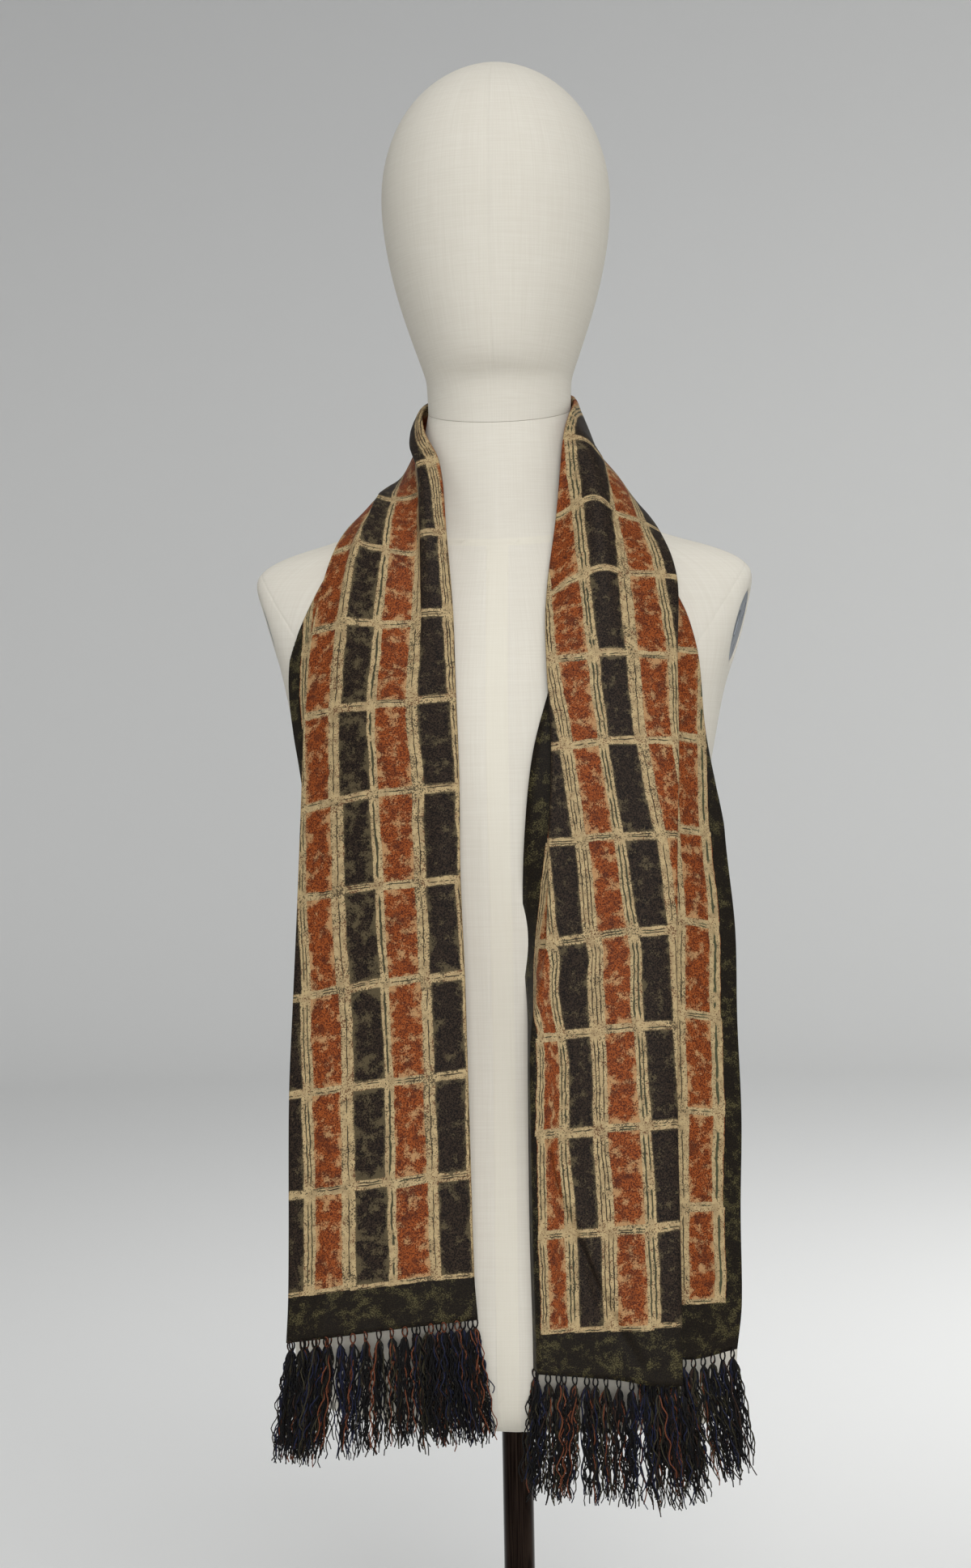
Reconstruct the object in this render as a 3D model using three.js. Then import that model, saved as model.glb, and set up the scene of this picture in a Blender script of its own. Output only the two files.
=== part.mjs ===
// A long fringed silk scarf, hung round the neck of a limbless dress form on a short pole stand.
// Millimetres, +Z up. The form faces -Y and +X is the viewer's right. The origin is the centre of
// the stand's underside. Every piece of cloth is a closed wall with the scarf's true folded shape.
import * as THREE from 'three';

// ---- the stand ----
const BASE_RADIUS = 150;
const BASE_EDGE = 6;             // height of the plate's rim
const BASE_CENTRE = 10;          // height of the plate beside its socket
const SOCKET_RADIUS = 20;
const SOCKET_HEIGHT = 30;
const SOCKET_FLOOR = 4;
const POLE_RADIUS = 11.5;
const CLEARANCE = 0.3;           // gap between pieces that touch
const ROUND_SIDES = 40;

// ---- the form ----
const TORSO_BOTTOM = 260;
const NECK_SEAM_HEIGHT = 1010.5; // where the neck seam crosses the neck's axis
const NECK_SEAM_TILT = 15;       // degrees, low at the front
const FORM_SIDES = 40;
const ARM_PLATE_X = 178;         // the shoulder's cut, on the plate's axis
const ARM_PLATE_Z = 853;
const ARM_PIT_Z = 800;
const ARM_PLATE_LEAN = 16;       // degrees that the cut leans in towards its lower edge
const ARM_PLATE_TOE = 9;         // degrees that the cut turns towards the front
const ARM_PLATE_HIGH = 66;
const ARM_PLATE_DEEP = 46;
const ARM_PLATE_THICK = 2;

// Level sections of the form: height, half-width, depth to the front and to the back, and how full
// the outline is in front (chest) and behind (spine): 2 is an ellipse, more is squarer.
const TORSO_SECTIONS = table('z half front back chest spine', [
  [260, 158, 97, 92, 2.2, 2.2],
  [295, 166, 101, 99, 2.2, 2.2],
  [330, 167, 102, 101, 2.2, 2.2],
  [400, 155, 97, 93, 2.2, 2.2],
  [470, 134, 88, 81, 2.2, 2.2],
  [530, 117, 82, 75, 2.2, 2.2],
  [600, 123, 87, 79, 2.2, 2.2],
  [680, 141, 98, 88, 2.2, 2.3],
  [740, 153, 103, 95, 2.2, 2.4],
  [790, 162, 99, 99, 2.0, 2.5],
  [822, 179, 92, 99, 1.8, 2.5],
  [850, 189, 82, 95, 1.7, 2.4],
  [872, 193, 73, 88, 1.6, 2.2],
  [886, 191, 66, 82, 1.5, 2.0],
  [896.2, 181, 62, 77, 1.4, 1.8],
  [905.4, 162, 60, 73, 1.35, 1.6],
  [913, 133, 58, 70, 1.3, 1.5],
  [924, 100, 57, 66, 1.4, 1.6],
  [942, 74, 56, 62, 1.6, 1.8],
  [970, 61, 55, 57, 2.0, 2.0],
]);
const NECK_HALF = 53.6;           // half-width and half-depth of the neck at its seam
const HEAD_SECTIONS = table('z half front back chest spine', [
  [1030, 54, 60, 56, 2.0, 2.0],
  [1036, 55, 72, 60, 2.0, 2.0],
  [1050, 60, 82, 68, 2.0, 2.0],
  [1070, 67, 89, 80, 2.0, 2.0],
  [1095, 75, 94, 92, 2.1, 2.1],
  [1125, 82, 98, 101, 2.1, 2.1],
  [1155, 86, 99, 106, 2.1, 2.1],
  [1180, 86, 97, 107, 2.1, 2.1],
  [1205, 81, 90, 103, 2.1, 2.1],
  [1228, 71, 78, 92, 2.1, 2.1],
  [1248, 55, 60, 73, 2.1, 2.1],
  [1262, 35, 38, 48, 2.1, 2.1],
  [1269, 15, 17, 23, 2.1, 2.1],
]);
const CROWN_HEIGHT = 1270.5;
const CROWN_SHRINK = 0.3;         // the flat at the crown, as a share of the ring below it

// ---- the scarf ----
const SCARF_WIDTH = 248;
const ROW_PITCH = 69.5;          // length of one row of the printed check
const CLOTH_WALL = 1.2;
const FOLD_RADIUS = 1.5;         // to the middle of the wall
const TURN_RADIUS = 10;          // of the bend where a strip turns back beyond the inner edge
const FULL_FOLD_DEPTH = 16;      // a pleat at least this deep is folded flat
const SEAM_GAP = 0.4;
const FRINGE_LENGTH = 95;
const FRINGE_WALL = 2;
const FRINGE_GAP = 1;
const NECK_STRETCH = [8.7, 14.4]; // rows where the neck stretch begins and ends
const TAIL_STEP = 0.5;           // rows between two sections of a tail
const NECK_STEPS = 20;
const ROW_PROBE = 0.1;           // part of a row over which the cloth's run is taken
const FORWARD_RISE = 0.35;       // how far up the cloth's middle stands out, for each 1 forward
const LEAST_TURN = 1.2;          // cloth given to a turn in a section that has no pleat there
const LEAST_FLAP = 3;            // from the selvage to the nearest turn
const LEAST_PLEAT = 5.4;
const TURN_PARTS = 3;            // facets in a turn
const FLAT_PARTS = 3;            // facets in each flat stretch between turns

// The scarf's cross sections, one a line, from the left hem over the neck to the right hem.
// row counts printed rows from the left hem's cross bar, and -0.547 and 24.547 are the hems.
// xi yi zi is the inner edge of the front layer, xo yo zo its outer edge and xe ye ze a point on
// the line that an outer strip follows. crown is how far the middle stands forward of those edges.
// turn is how far, in degrees, a strip beyond the inner edge turns back towards the form. ui and uo
// are the widths of cloth, from the inner selvage, folded at the two edges, hi and ho the depths of
// the pleats behind them, and rise is how much higher the outer pleat's back fold runs.
const SECTIONS = table('row xi yi zi xo yo zo xe ye ze crown turn ui hi uo ho rise', [
  [-0.547, -21, -119, 352, -158, -101, 333, -180, -88, 330, 2, 0, 48, 48, 177, 41, 0],
  [0, -23, -119, 385, -156, -101, 367, -178, -88, 364, 3, 0, 48, 48, 177, 41, 0],
  [2, -25, -118, 527, -153, -97, 510, -172, -82, 507, 5, 0, 48, 48, 176, 42, 0],
  [3, -26, -117, 597, -150, -92, 580, -170, -76, 577, 6, 0, 48, 48, 175, 42, -4],
  [4, -28, -116, 664, -147, -85, 651, -166, -66, 647, 8, 0, 48, 48, 173, 41, -8],
  [5, -28, -113, 731, -145, -78, 716, -162, -58, 711, 9, 0, 48, 48, 171, 37, -12],
  [6, -30, -106, 794, -142, -72, 783, -161, -54, 770, 9, 0, 48, 48, 169, 29, -16],
  [7, -32, -91, 856, -136, -68, 845, -167, -52, 820, 9, 0, 48, 48, 167, 23, -14],
  [8, -37, -72, 914, -125, -52, 903, -150, -40, 880, 12, 0, 48, 48, 166, 29, -8],
  [9, -43, -48, 968, -110, -8, 937, -123, 6, 921, 12, 0, 48, 48, 164, 38, 0],
  [9.5, -55, -25, 993, -101, 28, 942, -113, 42, 920, 6, 0, 49, 49, 164, 39, 0],
  [10, -58, 6, 1013, -91, 60, 940, -99, 74, 910, 2, 0, 54, 54, 164, 35, 0],
  [10.8, -44, 50, 1027, -58, 88, 934, -60, 102, 884, 3, 0, 64, 64, 166, 20, 0],
  [11.55, 0, 70, 1031, 0, 98, 934, 0, 106, 868, 3, 0, 70, 70, 168, 9, 0],
  [12.3, 43, 51, 1028, 58, 88, 936, 59, 102, 886, 3, 0, 70, 70, 172, 18, 0],
  [13.1, 58, 10, 1018, 90, 58, 941, 99, 74, 911, 2, 0, 72, 66, 179, 28, 0],
  [13.5, 55, -24, 1002, 96, 30, 945, 108, 44, 923, 6, 0, 74, 58, 183, 31, 0],
  [14, 51, -44, 982, 102, 0, 941, 113, 12, 925, 13, 0, 75, 50, 186, 31, 0],
  [15, 45, -60, 929, 118, -36, 916, 129, -26, 900, 14, 0, 76, 44, 190, 28, 0],
  [16, 38, -82, 874, 130, -60, 880, 141, -52, 870, 11, 0, 76, 41, 191, 25, 2],
  [17, 38, -100, 820, 129, -82, 822, 153, -66, 824, 8, 0, 74, 39, 173, 22, 4],
  [18, 41, -113, 758, 129, -101, 760, 160, -72, 762, 6, 0, 66, 27, 161, 22, 6],
  [19, 42, -117, 690, 127, -112, 694, 166, -78, 694, 5, 5, 61, 20, 153, 23, 8],
  [20, 41, -119, 619, 126, -116, 627, 169, -84, 626, 4, 10, 48, 14, 146, 25, 10],
  [21, 40, -119, 551, 125, -118, 560, 171, -88, 560, 3, 15, 46, 13, 141, 27, 12],
  [22, 40, -119, 482, 124, -119, 490, 173, -91, 493, 3, 25, 44, 12, 134, 30, 16],
  [23, 38, -119, 412, 124, -119, 418, 173, -93, 427, 2, 20, 34, 9, 128, 34, 20],
  [24, 33, -119, 343, 124, -119, 348, 172, -94, 360, 2, 52, 23, 0, 125, 36, 24],
  [24.547, 32, -118, 313, 124, -118, 305, 170, -95, 327, 2, 56, 22, 0, 124, 38, 28],
]);

const LINEN = { color: 0xd8d2c4, roughness: 0.9, metalness: 0 };
const STEEL = { color: 0x8f9296, roughness: 0.3, metalness: 0.9 };
const CHROME = { color: 0xc9ccd0, roughness: 0.12, metalness: 1 };
const SILK = { color: 0x7c4a2c, roughness: 0.5, metalness: 0 };
const YARN = { color: 0x24201d, roughness: 0.7, metalness: 0 };

// A table of rows as objects whose keys are the column names.
function table(columns, rows) {
  const names = columns.split(' ');
  return rows.map((row) => Object.fromEntries(names.map((name, i) => [name, row[i]])));
}

const radians = (degrees) => THREE.MathUtils.degToRad(degrees);

// A closed solid from rings of points, all of one length: each ring is joined to the next, and the
// first and last are closed by caps, given as lists of triangles of ring indices. From the ring's
// index `turned` on, four-sided facets are split along their other diagonal, so that the two faces
// of a wall, of which one runs back, are split alike.
function ringSolid(rings, startCap, endCap, turned = Infinity) {
  const count = rings[0].length;
  const positions = rings.flat().flatMap((p) => [p.x, p.y, p.z]);
  const faces = [];
  for (let k = 0; k < rings.length - 1; k += 1) {
    for (let i = 0; i < count; i += 1) {
      const j = (i + 1) % count;
      const a = k * count + i;
      const b = k * count + j;
      if (i < turned) faces.push(a, b, b + count, a, b + count, a + count);
      else faces.push(a, b, a + count, b, b + count, a + count);
    }
  }
  const last = (rings.length - 1) * count;
  startCap.forEach(([a, b, c]) => faces.push(a, c, b));
  endCap.forEach(([a, b, c]) => faces.push(last + a, last + b, last + c));
  const geometry = new THREE.BufferGeometry();
  geometry.setAttribute('position', new THREE.Float32BufferAttribute(positions, 3));
  geometry.setIndex(faces);
  geometry.computeVertexNormals();
  return geometry;
}

// Triangles that fan out from a ring's first point, for a cap that is flat and convex.
function fanCap(count) {
  return Array.from({ length: count - 2 }, (_, i) => [0, i + 1, i + 2]);
}

// Triangles between the two faces of a wall's end, whose ring runs out on one and back on the other.
function wallCap(count) {
  const cap = [];
  for (let i = 0; i < count / 2 - 1; i += 1) {
    const back = count - 1 - i;
    cap.push([i, i + 1, back - 1], [i, back - 1, back]);
  }
  return cap;
}

function piece(name, geometry, finish) {
  const mesh = new THREE.Mesh(geometry, new THREE.MeshStandardMaterial(finish));
  mesh.name = name;
  return mesh;
}

// A level section of the form, as a ring of points that runs anticlockwise seen from above.
function formRing({ z, half, front, back, chest, spine }) {
  const ring = [];
  for (let i = 0; i < FORM_SIDES; i += 1) {
    const turn = (2 * Math.PI * i) / FORM_SIDES;
    const depth = Math.sin(turn) > 0 ? back : front;
    const power = Math.sin(turn) > 0 ? spine : chest;
    const x = Math.sign(Math.cos(turn)) * half * Math.abs(Math.cos(turn)) ** (2 / power);
    const y = Math.sign(Math.sin(turn)) * depth * Math.abs(Math.sin(turn)) ** (2 / power);
    ring.push(new THREE.Vector3(x, y, z));
  }
  return ring;
}

// The cut at a shoulder's end: its outward normal and middle, for side -1 (left) or 1 (right).
function armCut(side) {
  const lean = radians(ARM_PLATE_LEAN);
  const toe = radians(ARM_PLATE_TOE);
  const normal = new THREE.Vector3(
    side * Math.cos(lean) * Math.cos(toe),
    -Math.cos(lean) * Math.sin(toe),
    -Math.sin(lean),
  );
  return { normal, middle: new THREE.Vector3(side * ARM_PLATE_X, 2, ARM_PLATE_Z) };
}

// Draws a point in along X where it lies outside a shoulder's cut, which ends at the armpit.
function trimToArmCut(point) {
  if (point.z < ARM_PIT_Z) return point;
  const { normal, middle } = armCut(Math.sign(point.x) || 1);
  const beyond = point.clone().sub(middle).dot(normal);
  if (beyond > 0) point.x -= beyond / normal.x;
  return point;
}

// The ring round the neck at its tilted seam, raised by `lift`.
function neckRing(lift) {
  const slope = Math.tan(radians(NECK_SEAM_TILT));
  const round = { z: 0, half: NECK_HALF, front: NECK_HALF, back: NECK_HALF, chest: 2, spine: 2 };
  const ring = formRing(round);
  ring.forEach((p) => { p.z = NECK_SEAM_HEIGHT + lift + p.y * slope; });
  return ring;
}

function torso() {
  const rings = TORSO_SECTIONS.map(formRing);
  rings.forEach((ring) => ring.forEach(trimToArmCut));
  rings.push(neckRing(0));
  return ringSolid(rings, fanCap(FORM_SIDES), fanCap(FORM_SIDES));
}

function head() {
  const rings = [neckRing(CLEARANCE)];
  HEAD_SECTIONS.forEach((section) => rings.push(formRing(section)));
  const last = rings[rings.length - 1];
  rings.push(last.map(({ x, y }) => new THREE.Vector3(x * CROWN_SHRINK, y * CROWN_SHRINK, CROWN_HEIGHT)));
  return ringSolid(rings, fanCap(FORM_SIDES), fanCap(FORM_SIDES));
}

// The oval plate that closes a shoulder's end, lying on its cut.
function armPlate(side) {
  const plate = new THREE.CylinderGeometry(1, 1, ARM_PLATE_THICK, ROUND_SIDES);
  plate.scale(ARM_PLATE_HIGH / 2, 1, ARM_PLATE_DEEP / 2);
  const { normal, middle } = armCut(side);
  const across = new THREE.Vector3(0, 1, 0).addScaledVector(normal, -normal.y).normalize();
  const up = new THREE.Vector3().crossVectors(normal, across);
  plate.applyMatrix4(new THREE.Matrix4().makeBasis(up, normal, across));
  const centre = middle.clone().addScaledVector(normal, CLEARANCE + ARM_PLATE_THICK / 2);
  plate.translate(centre.x, centre.y, centre.z);
  return plate;
}

function standBase() {
  const bore = POLE_RADIUS + CLEARANCE;
  const profile = [
    [0, 0], [BASE_RADIUS, 0], [BASE_RADIUS, BASE_EDGE], [SOCKET_RADIUS + 4, BASE_CENTRE],
    [SOCKET_RADIUS, BASE_CENTRE + 4], [SOCKET_RADIUS, SOCKET_HEIGHT], [bore, SOCKET_HEIGHT],
    [bore, SOCKET_FLOOR], [0, SOCKET_FLOOR],
  ].map(([r, z]) => new THREE.Vector2(r, z));
  const base = new THREE.LatheGeometry(profile, ROUND_SIDES);
  base.rotateX(Math.PI / 2);
  return base;
}

function standPole() {
  const bottom = SOCKET_FLOOR + CLEARANCE;
  const top = TORSO_BOTTOM - CLEARANCE;
  const pole = new THREE.CylinderGeometry(POLE_RADIUS, POLE_RADIUS, top - bottom, ROUND_SIDES);
  pole.rotateX(Math.PI / 2);
  pole.translate(0, 0, (bottom + top) / 2);
  return pole;
}

// A smooth curve through values at uneven places: a cubic with the slope of each place's neighbours.
function through(places, values, at) {
  const last = places.length - 1;
  let k = 0;
  while (k < last - 1 && at > places[k + 1]) k += 1;
  const slope = (i) => {
    const a = Math.max(i - 1, 0);
    const b = Math.min(i + 1, last);
    return (values[b] - values[a]) / (places[b] - places[a]);
  };
  const span = places[k + 1] - places[k];
  const t = (at - places[k]) / span;
  const rise = values[k + 1] - values[k];
  const a = slope(k) * span - rise;
  const b = rise - slope(k + 1) * span;
  return values[k] + t * rise + t * (1 - t) * (a * (1 - t) + b * t);
}

const SECTION_ROWS = SECTIONS.map((s) => s.row);
const FIRST_ROW = SECTION_ROWS[0];
const LAST_ROW = SECTION_ROWS[SECTION_ROWS.length - 1];
const COLUMN_VALUES = Object.fromEntries(
  Object.keys(SECTIONS[0]).map((name) => [name, SECTIONS.map((s) => s[name])]),
);

// The section's sizes at any row, part rows included.
function sectionAt(row) {
  const at = (name) => through(SECTION_ROWS, COLUMN_VALUES[name], row);
  const inner = new THREE.Vector3(at('xi'), at('yi'), at('zi'));
  const outer = new THREE.Vector3(at('xo'), at('yo'), at('zo'));
  const strip = new THREE.Vector3(at('xe'), at('ye'), at('ze'));
  const hi = Math.max(at('hi'), 0);
  const ho = Math.max(at('ho'), 0);
  const turn = radians(Math.max(at('turn'), 0));
  const [crown, ui, uo, rise] = ['crown', 'ui', 'uo', 'rise'].map(at);
  return { inner, outer, strip, crown, turn, ui, hi, uo, ho, rise };
}

// The line that the front layer follows across the scarf, as places, in mm from the inner edge,
// and points. Its middle stands forward of the chord, square to the chord and most to the front.
function frontLine(section) {
  const { inner, outer, strip, crown } = section;
  const chord = outer.clone().sub(inner);
  const forward = new THREE.Vector3(0, -1, FORWARD_RISE);
  forward.addScaledVector(chord, -forward.dot(chord) / chord.lengthSq()).normalize();
  const middle = inner.clone().add(outer).multiplyScalar(0.5).addScaledVector(forward, crown);
  const half = inner.distanceTo(middle);
  const full = half + middle.distanceTo(outer);
  const far = full + outer.distanceTo(strip);
  return { places: [0, half, full, far], points: [inner, middle, outer, strip], full };
}

// A point on that line; past either end it runs on straight.
function onLine(line, t) {
  const { places, points } = line;
  const first = places[0];
  const last = places[places.length - 1];
  const held = THREE.MathUtils.clamp(t, first, last);
  const at = (s) => new THREE.Vector3(...['x', 'y', 'z'].map((axis) => (
    through(places, points.map((p) => p[axis]), s))));
  const point = at(held);
  if (t === held) return point;
  const step = t < first ? 1 : -1;
  const along = at(held + step).sub(point);
  return point.addScaledVector(along, (t - held) * step);
}

// One pleat behind an edge, as [distance across from the edge, depth behind] for the cloth `past`
// the fold's middle. The cloth turns back, runs `depth` behind the front layer and turns again.
function pleatPoint(past, depth) {
  const turn = Math.PI * THREE.MathUtils.smoothstep(depth, 0, FULL_FOLD_DEPTH);
  const arc = FOLD_RADIUS * turn;
  const stages = [[arc, 1], [Math.max(depth - arc, 0), 0], [arc, -1], [Infinity, 0]];
  let [across, behind, heading] = [0, 0, 0];
  let left = past + arc / 2;
  for (const [length, bend] of stages) {
    const run = Math.min(left, length);
    if (bend === 0) {
      across += run * Math.cos(heading);
      behind += run * Math.sin(heading);
    } else {
      const next = heading + (bend * run) / FOLD_RADIUS;
      across += bend * FOLD_RADIUS * (Math.sin(next) - Math.sin(heading));
      behind += bend * FOLD_RADIUS * (Math.cos(heading) - Math.cos(next));
      heading = next;
    }
    left -= run;
    if (left <= 0) break;
  }
  return [across, behind];
}

// Half the cloth taken up by the turn of a pleat's edge.
function halfTurn(depth) {
  return (FOLD_RADIUS * Math.PI * THREE.MathUtils.smoothstep(depth, 0, FULL_FOLD_DEPTH)) / 2;
}

// Where the cloth at width `u` lies in its section: t across, depth behind the front line, and lift.
function inSection(section, line, u) {
  const { ui, hi, uo, ho, rise } = section;
  const from = ui + halfTurn(hi);
  const to = uo - halfTurn(ho);
  if (u < from) {
    const [across, behind] = pleatPoint(ui - u, hi);
    return { t: -across, behind, lift: 0 };
  }
  if (u <= to) return { t: (line.full * (u - from)) / (to - from), behind: 0, lift: 0 };
  const [across, behind] = pleatPoint(u - uo, ho);
  const backFold = uo + ho;
  const lift = u < backFold
    ? (rise * (u - uo)) / Math.max(ho, 1)
    : (rise * (SCARF_WIDTH - u)) / (SCARF_WIDTH - backFold);
  return { t: line.full + across, behind, lift };
}

// How far a strip `past` the inner edge reaches across and back when it turns by an angle.
function turnedStrip(past, turn) {
  const bend = Math.min(past / TURN_RADIUS, turn);
  const straight = past - bend * TURN_RADIUS;
  return [
    TURN_RADIUS * Math.sin(bend) + straight * Math.cos(bend),
    TURN_RADIUS * (1 - Math.cos(bend)) + straight * Math.sin(bend),
  ];
}

// The middle of the cloth's wall at a row and a width. Past a hem it hangs straight down.
function clothPoint(row, u) {
  const inside = THREE.MathUtils.clamp(row, FIRST_ROW, LAST_ROW);
  const section = sectionAt(inside);
  const line = frontLine(section);
  const { t, behind, lift } = inSection(section, line, u);
  const point = onLine(line, Math.max(t, 0));
  const across = onLine(line, Math.max(t, 0) + 1).sub(point).normalize();
  const step = inside > FIRST_ROW + ROW_PROBE ? -ROW_PROBE : ROW_PROBE;
  const other = frontLine(sectionAt(inside + step));
  const along = onLine(other, Math.max(t, 0)).sub(point).multiplyScalar(Math.sign(step));
  const toBack = across.clone().cross(along).normalize();
  const [beyond, back] = turnedStrip(Math.max(-t, 0), section.turn);
  point.addScaledVector(across, -beyond).addScaledVector(toBack, behind + back);
  point.z += lift;
  point.z -= Math.abs(row - inside) * ROW_PITCH;
  return point;
}

// Widths at which a section is drawn: close together on each turn, evenly between the turns.
function sectionWidths(section) {
  const { ui, hi, uo, ho } = section;
  const stops = [0];
  const spread = (to, parts) => {
    const from = stops[stops.length - 1];
    for (let i = 1; i <= parts; i += 1) stops.push(from + ((to - from) * i) / parts);
  };
  const turnAt = (middle, depth, parts) => {
    const half = Math.max(halfTurn(depth), LEAST_TURN / 2);
    spread(middle - half, parts);
    spread(middle + half, TURN_PARTS);
  };
  turnAt(Math.min(Math.max(ui - hi, LEAST_FLAP), ui - LEAST_PLEAT), hi, 1);
  turnAt(ui, hi, FLAT_PARTS + 1);
  turnAt(uo, ho, 2 * FLAT_PARTS);
  turnAt(uo + Math.max(ho, LEAST_PLEAT), ho, FLAT_PARTS);
  spread(SCARF_WIDTH, FLAT_PARTS);
  return stops;
}

// One stretch of the scarf as a closed wall between two rows.
function clothWall(from, to, steps, thick) {
  const rings = [];
  for (let k = 0; k <= steps; k += 1) {
    const row = from + ((to - from) * k) / steps;
    const widths = sectionWidths(sectionAt(THREE.MathUtils.clamp(row, FIRST_ROW, LAST_ROW)));
    const middles = widths.map((u) => clothPoint(row, u));
    const next = widths.map((u) => clothPoint(row + ROW_PROBE / 2, u));
    const faces = [[], []];
    middles.forEach((p, i) => {
      const before = middles[Math.max(i - 1, 0)];
      const after = middles[Math.min(i + 1, middles.length - 1)];
      const across = after.clone().sub(before);
      const along = next[i].clone().sub(p);
      const normal = along.cross(across).normalize();
      faces[0].push(p.clone().addScaledVector(normal, thick / 2));
      faces[1].push(p.clone().addScaledVector(normal, -thick / 2));
    });
    rings.push([...faces[1], ...faces[0].reverse()]);
  }
  const count = rings[0].length;
  return ringSolid(rings, wallCap(count), wallCap(count), count / 2);
}

const rowGap = SEAM_GAP / ROW_PITCH;
const [neckFrom, neckTo] = NECK_STRETCH;
const leftSteps = Math.round((neckFrom - FIRST_ROW) / TAIL_STEP);
const rightSteps = Math.round((LAST_ROW - neckTo) / TAIL_STEP);
const fringeTop = FRINGE_GAP / ROW_PITCH;
const fringeEnd = FRINGE_LENGTH / ROW_PITCH;

const scarfOnForm = new THREE.Group();
scarfOnForm.add(
  piece('stand_base', standBase(), STEEL),
  piece('stand_pole', standPole(), CHROME),
  piece('form_torso', torso(), LINEN),
  piece('form_head', head(), LINEN),
  piece('arm_plate_left', armPlate(-1), STEEL),
  piece('arm_plate_right', armPlate(1), STEEL),
  piece('scarf_left_tail', clothWall(FIRST_ROW, neckFrom - rowGap, leftSteps, CLOTH_WALL), SILK),
  piece('scarf_neck', clothWall(neckFrom, neckTo, NECK_STEPS, CLOTH_WALL), SILK),
  piece('scarf_right_tail', clothWall(neckTo + rowGap, LAST_ROW, rightSteps, CLOTH_WALL), SILK),
  piece('fringe_left', clothWall(FIRST_ROW - fringeEnd, FIRST_ROW - fringeTop, 1, FRINGE_WALL), YARN),
  piece('fringe_right', clothWall(LAST_ROW + fringeTop, LAST_ROW + fringeEnd, 1, FRINGE_WALL), YARN),
);

export default scarfOnForm;
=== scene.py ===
# %% [markdown]
# # A fringed silk scarf on a dress form
#
# This notebook dresses a ready-made frame. The frame holds plain solids for every piece: a stand,
# a cloth-covered torso with an egg-shaped head, and a long scarf laid round the neck. Here each
# plain solid gets its real surface: linen with seams, chrome with a painted dark reflection, and
# printed silk with tassels.
# The solids fix where everything is, so the boxes of the frame's nodes are our only ruler.

import math
import random

import bmesh
import bpy
import numpy as np
from mathutils import Matrix, Vector


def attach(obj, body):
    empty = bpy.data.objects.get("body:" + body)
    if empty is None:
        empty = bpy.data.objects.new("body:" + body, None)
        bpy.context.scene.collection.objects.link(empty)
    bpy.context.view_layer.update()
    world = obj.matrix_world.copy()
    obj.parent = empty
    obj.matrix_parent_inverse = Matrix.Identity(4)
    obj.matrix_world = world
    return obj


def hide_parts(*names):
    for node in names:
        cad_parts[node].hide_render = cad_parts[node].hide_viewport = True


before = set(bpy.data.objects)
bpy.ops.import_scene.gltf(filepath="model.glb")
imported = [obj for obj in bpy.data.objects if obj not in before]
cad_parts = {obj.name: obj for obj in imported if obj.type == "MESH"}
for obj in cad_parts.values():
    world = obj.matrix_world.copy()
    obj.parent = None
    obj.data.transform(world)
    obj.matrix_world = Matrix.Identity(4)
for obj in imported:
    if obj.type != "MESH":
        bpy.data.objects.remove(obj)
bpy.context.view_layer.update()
print("nodes:", sorted(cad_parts))

# %% [markdown]
# ## Small helpers
#
# Every new piece goes through the same last step: it becomes an object, its faces are smoothed, it
# rides on the frame's one body and stands for its plain solid.
# One helper keeps that in one place. Sizes are written in millimetres and scaled once.

# %% Piece helpers
MM = 0.001


def add_piece(name, mesh, nodes):
    """Makes a mesh a piece of the object: it rides on the frame and stands for the nodes."""
    piece = bpy.data.objects.new(name, mesh)
    bpy.context.scene.collection.objects.link(piece)
    mesh.shade_smooth()
    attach(piece, "root")
    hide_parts(*nodes)
    print(f"{name}: {len(mesh.polygons)} faces")
    return piece


def to_mesh(name, bm):
    """Writes a bmesh to a new mesh and frees it."""
    mesh = bpy.data.meshes.new(name)
    bm.to_mesh(mesh)
    bm.free()
    return mesh


def on_bench(name, data):
    """Puts a mesh or curve into the scene for a moment, so that its modifiers can work."""
    part = bpy.data.objects.new(name, data)
    bpy.context.scene.collection.objects.link(part)
    return part


def finished_mesh(part, *others):
    """The mesh that a part's modifiers or bevel make; the parts are then cleared away."""
    graph = bpy.context.evaluated_depsgraph_get()
    mesh = bpy.data.meshes.new_from_object(part.evaluated_get(graph))
    for used in (part, *others):
        bpy.data.objects.remove(used)
    return mesh


def smoothstep(low, high, x):
    """0 below low, 1 above high and a smooth S between them, for numbers or arrays."""
    t = np.clip((np.asarray(x, float) - low) / (high - low), 0, 1)
    return t * t * (3 - 2 * t)


# %% [markdown]
# ## Reading shader maths
#
# A printed pattern is a long sum of shader nodes. Written node by node it is hard to read, so this
# small class lets a socket be added, multiplied and compared like an ordinary number. Each sign
# still makes one Math node, so the result is a normal node tree.

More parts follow.
